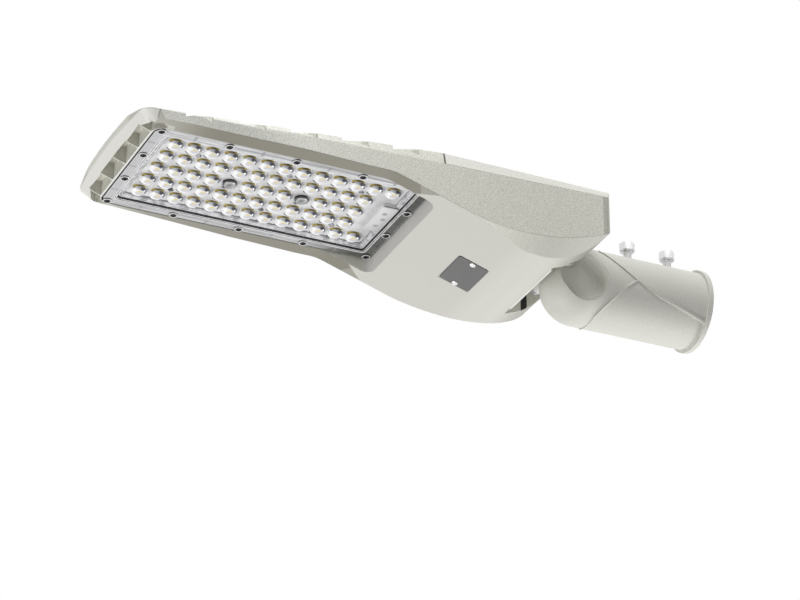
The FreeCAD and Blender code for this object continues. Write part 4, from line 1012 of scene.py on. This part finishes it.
# %% [markdown]
# ## Pins, cups and the wire cover
#
# Between the lenses stand small cross-shaped pins that hold the board flat, and two cups let
# the fixing screws through. Behind the last columns a low box covers the solder joints of the
# wires; three faint dots are the joints seen through its roof. These are the details which
# tell that the plate is a real moulding, so each gets its own shape.

# %% Pins, cups and wire cover
PIN_CELLS = [(column, row) for column in (1.5, 6.5, 10.5) for row in (-1.5, 1.5)]
# Profiles are (radius, depth below the sheet); paint gives the finish of each step
PIN_PROFILE = [(2.9, -0.5), (2.9, 0.9), (2.4, 1.6)]
CUP_PROFILE = [(6.5, -0.5), (6.5, 2.2), (6.2, 2.6), (5.3, 2.6), (5.0, 2.2), (4.9, 0.2), (4.9, -0.5)]
CUP_PAINT = [1, 1, 1, 0, 2, 2, 2]
COVER_FRONT_S = 203.5
COVER_REAR_S = 220.5
COVER_HALF = 23.0
COVER_CORNER = 2.5
COVER_LOW_H = -2.6
COVER_DOTS = ((211.0, -11.0), (213.5, -1.0), (212.0, 11.5))


def cross_wave(turn):
    return 0.5 + 0.5 * abs(math.cos(2 * turn)) ** 3


def wire_cover_finish():
    finish, tree, shader = new_finish("clear_wire_cover")
    s, y, h = stations(tree)
    tone = stretch(tree, y, -23.0, 23.0, 0.74, 0.64)
    colour = as_grey(tree, tone)
    for dot_s, dot_y in COVER_DOTS:
        far = distance(tree, calc(tree, "SUBTRACT", s, dot_s), calc(tree, "SUBTRACT", y, dot_y))
        colour = blend_tone(tree, stretch(tree, far, 1.4, 3.2, 0.85, 0.0), colour, (0.33, 0.33, 0.34))
    # Painted shade: dark lines along the cover's ends, its far side and its back edge.
    ends = stretch(tree, calc(tree, "ABSOLUTE", y), 22.0, 22.8)
    ends = both(tree, ends, between(tree, h, -2.2, -1.1, 0.3))
    colour = blend_tone(tree, ends, colour, (0.12, 0.12, 0.13))
    colour = blend_tone(tree, stretch(tree, y, 21.7, 22.1, 0.0, 0.8), colour, (0.15, 0.15, 0.16))
    back = stretch(tree, s, 219.8, 220.4, 0.0, 0.7)
    colour = blend_tone(tree, back, colour, (0.16, 0.16, 0.17))
    tree.links.new(colour, shader.inputs["Base Color"])
    glossy(shader)
    return finish


pins = Shape()
for column, row in PIN_CELLS:
    pins.stack(lathe(PIN_PROFILE, hanging(column * COLUMN_PITCH, row * ROW_PITCH, SHEET_H), 24, cross_wave))
pin_clear = plain_clear("clear_pin", (0.5, 0.5, 0.52), (0.01, 0.01, 0.012))
pins.piece("lens_pins", "lamp_head", [pin_clear], ["lens_plate"])
cups = Shape()
for column in FIXING_COLUMNS:
    cups.stack(lathe(CUP_PROFILE, hanging(column * COLUMN_PITCH, 0.0, SHEET_H), 32), CUP_PAINT, loop=True)
cups.piece("fixing_cups", "lamp_head", [light_rib, dark_line, sheet_clear], ["lens_plate"])


def rounded_box_ring(inset, h):
    outline = rounded_outline(COVER_FRONT_S + inset, COVER_REAR_S - inset, COVER_HALF - inset,
                              COVER_CORNER - inset, 4)
    return [head(s, y, h) for s, y in outline]


wire_cover = Shape()
wire_cover.stack([rounded_box_ring(0.0, SHEET_H + 0.4), rounded_box_ring(0.2, COVER_LOW_H + 1.4),
                  rounded_box_ring(0.6, COVER_LOW_H + 0.4), rounded_box_ring(1.5, COVER_LOW_H)])
wire_cover.piece("wire_cover", "lamp_head", [wire_cover_finish()], ["lens_plate"], 70.0)

# %% [markdown]
# ## Screws of the light module
#
# Fourteen screws of near-black steel with hexalobular sockets pull the flange onto its seal. Each
# stands in a small raised ring of the moulding. From below they read as black dots in light
# circles, and that contrast carries the whole border, so both the ring and the socket are
# modelled. Their black is partly painted shade, the dark of the hole round each head.

# %% Module screws
SCREW_STATIONS = (-20.6, 41.4, 103.5, 165.6, 227.3)
SIDE_SCREW_Y = 65.7
END_SCREW_Y = 22.2
MODULE_SCREW_R = 2.6
FIXING_SCREW_R = 4.7
BOSS_PROFILE = [(4.1, -0.3), (4.1, 0.9), (3.8, 1.2), (3.2, 1.2), (3.0, 0.8), (2.9, -0.3)]
BOSS_PAINT = [1, 0, 0, 0, 1, 1]


def module_screw_spots():
    ends = (SCREW_STATIONS[0], SCREW_STATIONS[-1])
    spots = [(s, side * SIDE_SCREW_Y) for s in SCREW_STATIONS for side in (-1, 1)]
    return spots + [(s, side * END_SCREW_Y) for s in ends for side in (-1, 1)]


def six_lobes(turn):
    return 1.0 + 0.14 * math.cos(6 * turn)


def add_screw(shape, s, y, low_h, radius):
    """Pan-head screw with a six-lobed socket; its head hangs below low_h."""
    profile = [(radius * 0.6, -2.0), (radius * 0.6, 0.0), (radius, 0.0), (radius, 0.9), (radius * 0.82, 1.5),
               (radius * 0.50, 1.7), (radius * 0.46, 1.7), (radius * 0.42, 0.7)]
    shape.stack(lathe(profile, hanging(s, y, low_h), 24, six_lobes))


module_screws = Shape()
bosses = Shape()
for screw_s, screw_y in module_screw_spots():
    add_screw(module_screws, screw_s, screw_y, FLANGE_H, MODULE_SCREW_R)
    bosses.stack(lathe(BOSS_PROFILE, hanging(screw_s, screw_y, FLANGE_H), 28), BOSS_PAINT, loop=True)
shade_black = plated_metal("shade_black_steel", (0.035, 0.035, 0.035), 0.3)
module_screws.piece("module_screws", "lamp_head", [shade_black], ["lens_screws"])
bosses.piece("screw_bosses", "lamp_head", [light_rib, dark_line], ["lens_plate"])
board_screws = Shape()
for column in FIXING_COLUMNS:
    add_screw(board_screws, column * COLUMN_PITCH, 0.0, SHEET_H - 0.8, FIXING_SCREW_R)
board_screws.piece("fixing_screws", "lamp_head",
                   [plated_metal("fixing_steel", (0.50, 0.50, 0.50), 0.35)], ["board_screws"])

# %% [markdown]
# ## The blank plate
#
# On the sloping underside sits an anodised plate, held by two small bright screws. It stays
# bare. A sheet cut from aluminium has rounded corners and a broken edge that catches light,
# so it is a stack of four rings in the plane of the slope. Its side and outer bevel take the
# black rubber finish, a painted shadow round the plate.

# %% Plate and its screws
SLOPE_S = 293.0
SLOPE = 0.33
SLOPE_H = FLANGE_H - SLOPE * (SLOPE_S - 187.0)
PLATE_LONG = 30.0
PLATE_WIDE = 43.8
PLATE_CORNER = 3.0
PLATE_SCREW_Y = 18.5
PLATE_SCREW_PROFILE = [(1.5, -1.5), (1.5, 0.3), (2.7, 0.4), (2.7, 0.9), (2.1, 1.4), (1.2, 1.5), (1.1, 1.5),
                       (0.6, 0.8)]


def on_slope(along, across, out):
    """Point on the sloping underside; out is the distance below it."""
    length = math.hypot(1.0, SLOPE)
    return head(SLOPE_S + (along - out * SLOPE) / length, across, SLOPE_H - (along * SLOPE + out) / length)


def plate_ring(inset, out):
    long = PLATE_LONG / 2 - inset
    outline = rounded_outline(-long, long, PLATE_WIDE / 2 - inset, PLATE_CORNER - inset, 5)
    return [on_slope(along, across, out) for along, across in outline]


def cross_recess(turn):
    return 0.6 + 0.4 * abs(math.cos(2 * turn)) ** 2


plate = Shape()
# The first two rings take the black rubber finish: painted shadow round the plate's edge.
plate.stack([plate_ring(0.1, -0.45), plate_ring(0.0, 0.1), plate_ring(0.25, 0.35), plate_ring(1.0, 0.4)],
            [1, 1, 0, 0])
plate.piece("blank_plate", "lamp_head",
            [brushed("satin_plate", (0.19, 0.19, 0.188), (1.0, 0.03, 1.0)), rubber], ["rating_plate"])
plate_screws = Shape()
for side in (-1, 1):
    plate_screws.stack(lathe(
        PLATE_SCREW_PROFILE, lambda x, y, out: on_slope(x, side * PLATE_SCREW_Y + y, out), 24, cross_recess))
plate_screws.piece("plate_screws", "lamp_head",
                   [plated_metal("bright_steel", (0.95, 0.95, 0.95), 0.2)], ["rating_plate_screws"])

# %% [markdown]
# ## Clamping screws on the pole socket
#
# Two hexagon screws press on the pole. A plain prism would betray itself: a real head has a
# chamfer where the flats meet the top, a washer face below and a rolled thread on its shank.
# The chamfer comes from shrinking the hexagon's corners to a circle over the last ring, and
# the thread is a stack of rings that swell and narrow once per turn.

# %% Clamping screws
TUBE_R = 36.1
CLAMP_X = (-25.5, -66.5)
CLAMP_AF = 13.0
CLAMP_STAND = 11.8
CLAMP_HEAD = 8.2
THREAD_PITCH = 1.25
THREAD_LOW_R = 3.45
THREAD_HIGH_R = 4.0
SHANK_LOW_Z = 31.6
WASHER_FACE_R = 5.9
UNCUT_R = 9.0


def hexagon_reach(turn):
    """Distance from the middle of a hexagon to its edge, for an across-flats of 1."""
    off_flat = (turn + math.pi / 6) % (math.pi / 3) - math.pi / 6
    return 0.5 / math.cos(off_flat)


def hex_ring(x, z, limit, sides=36):
    """Ring round a hexagon screw; corners further out than limit are cut to it."""
    ring = []
    for i in range(sides):
        turn = 2 * math.pi * i / sides
        reach = min(limit, CLAMP_AF * hexagon_reach(turn - math.radians(15)))
        ring.append(Vector((x + reach * math.cos(turn), reach * math.sin(turn), z)) * MM)
    return ring


def round_ring(x, z, radius, sides=36):
    turns = [2 * math.pi * i / sides for i in range(sides)]
    return [Vector((x + radius * math.cos(turn), radius * math.sin(turn), z)) * MM for turn in turns]


clamps = Shape()
for clamp_x in CLAMP_X:
    top = TUBE_R + CLAMP_STAND
    rings = [round_ring(clamp_x, SHANK_LOW_Z, THREAD_LOW_R)]
    z = TUBE_R - 2.0
    while z < top - 1.6:
        rings.append(round_ring(clamp_x, z, THREAD_LOW_R))
        rings.append(round_ring(clamp_x, z + THREAD_PITCH / 2, THREAD_HIGH_R))
        z += THREAD_PITCH
    rings += [round_ring(clamp_x, top - 0.4, THREAD_LOW_R), round_ring(clamp_x, top - 0.4, WASHER_FACE_R),
              round_ring(clamp_x, top, WASHER_FACE_R), hex_ring(clamp_x, top + 0.01, 6.6),
              hex_ring(clamp_x, top + 0.5, UNCUT_R), hex_ring(clamp_x, top + CLAMP_HEAD - 0.7, UNCUT_R),
              hex_ring(clamp_x, top + CLAMP_HEAD, 6.2), round_ring(clamp_x, top + CLAMP_HEAD, 5.0)]
    clamps.stack(rings)
clamps.piece("clamping_screws", "pole_spigot",
             [plated_metal("bright_zinc", (0.86, 0.86, 0.88), 0.25)], ["set_screws"], 25.0)
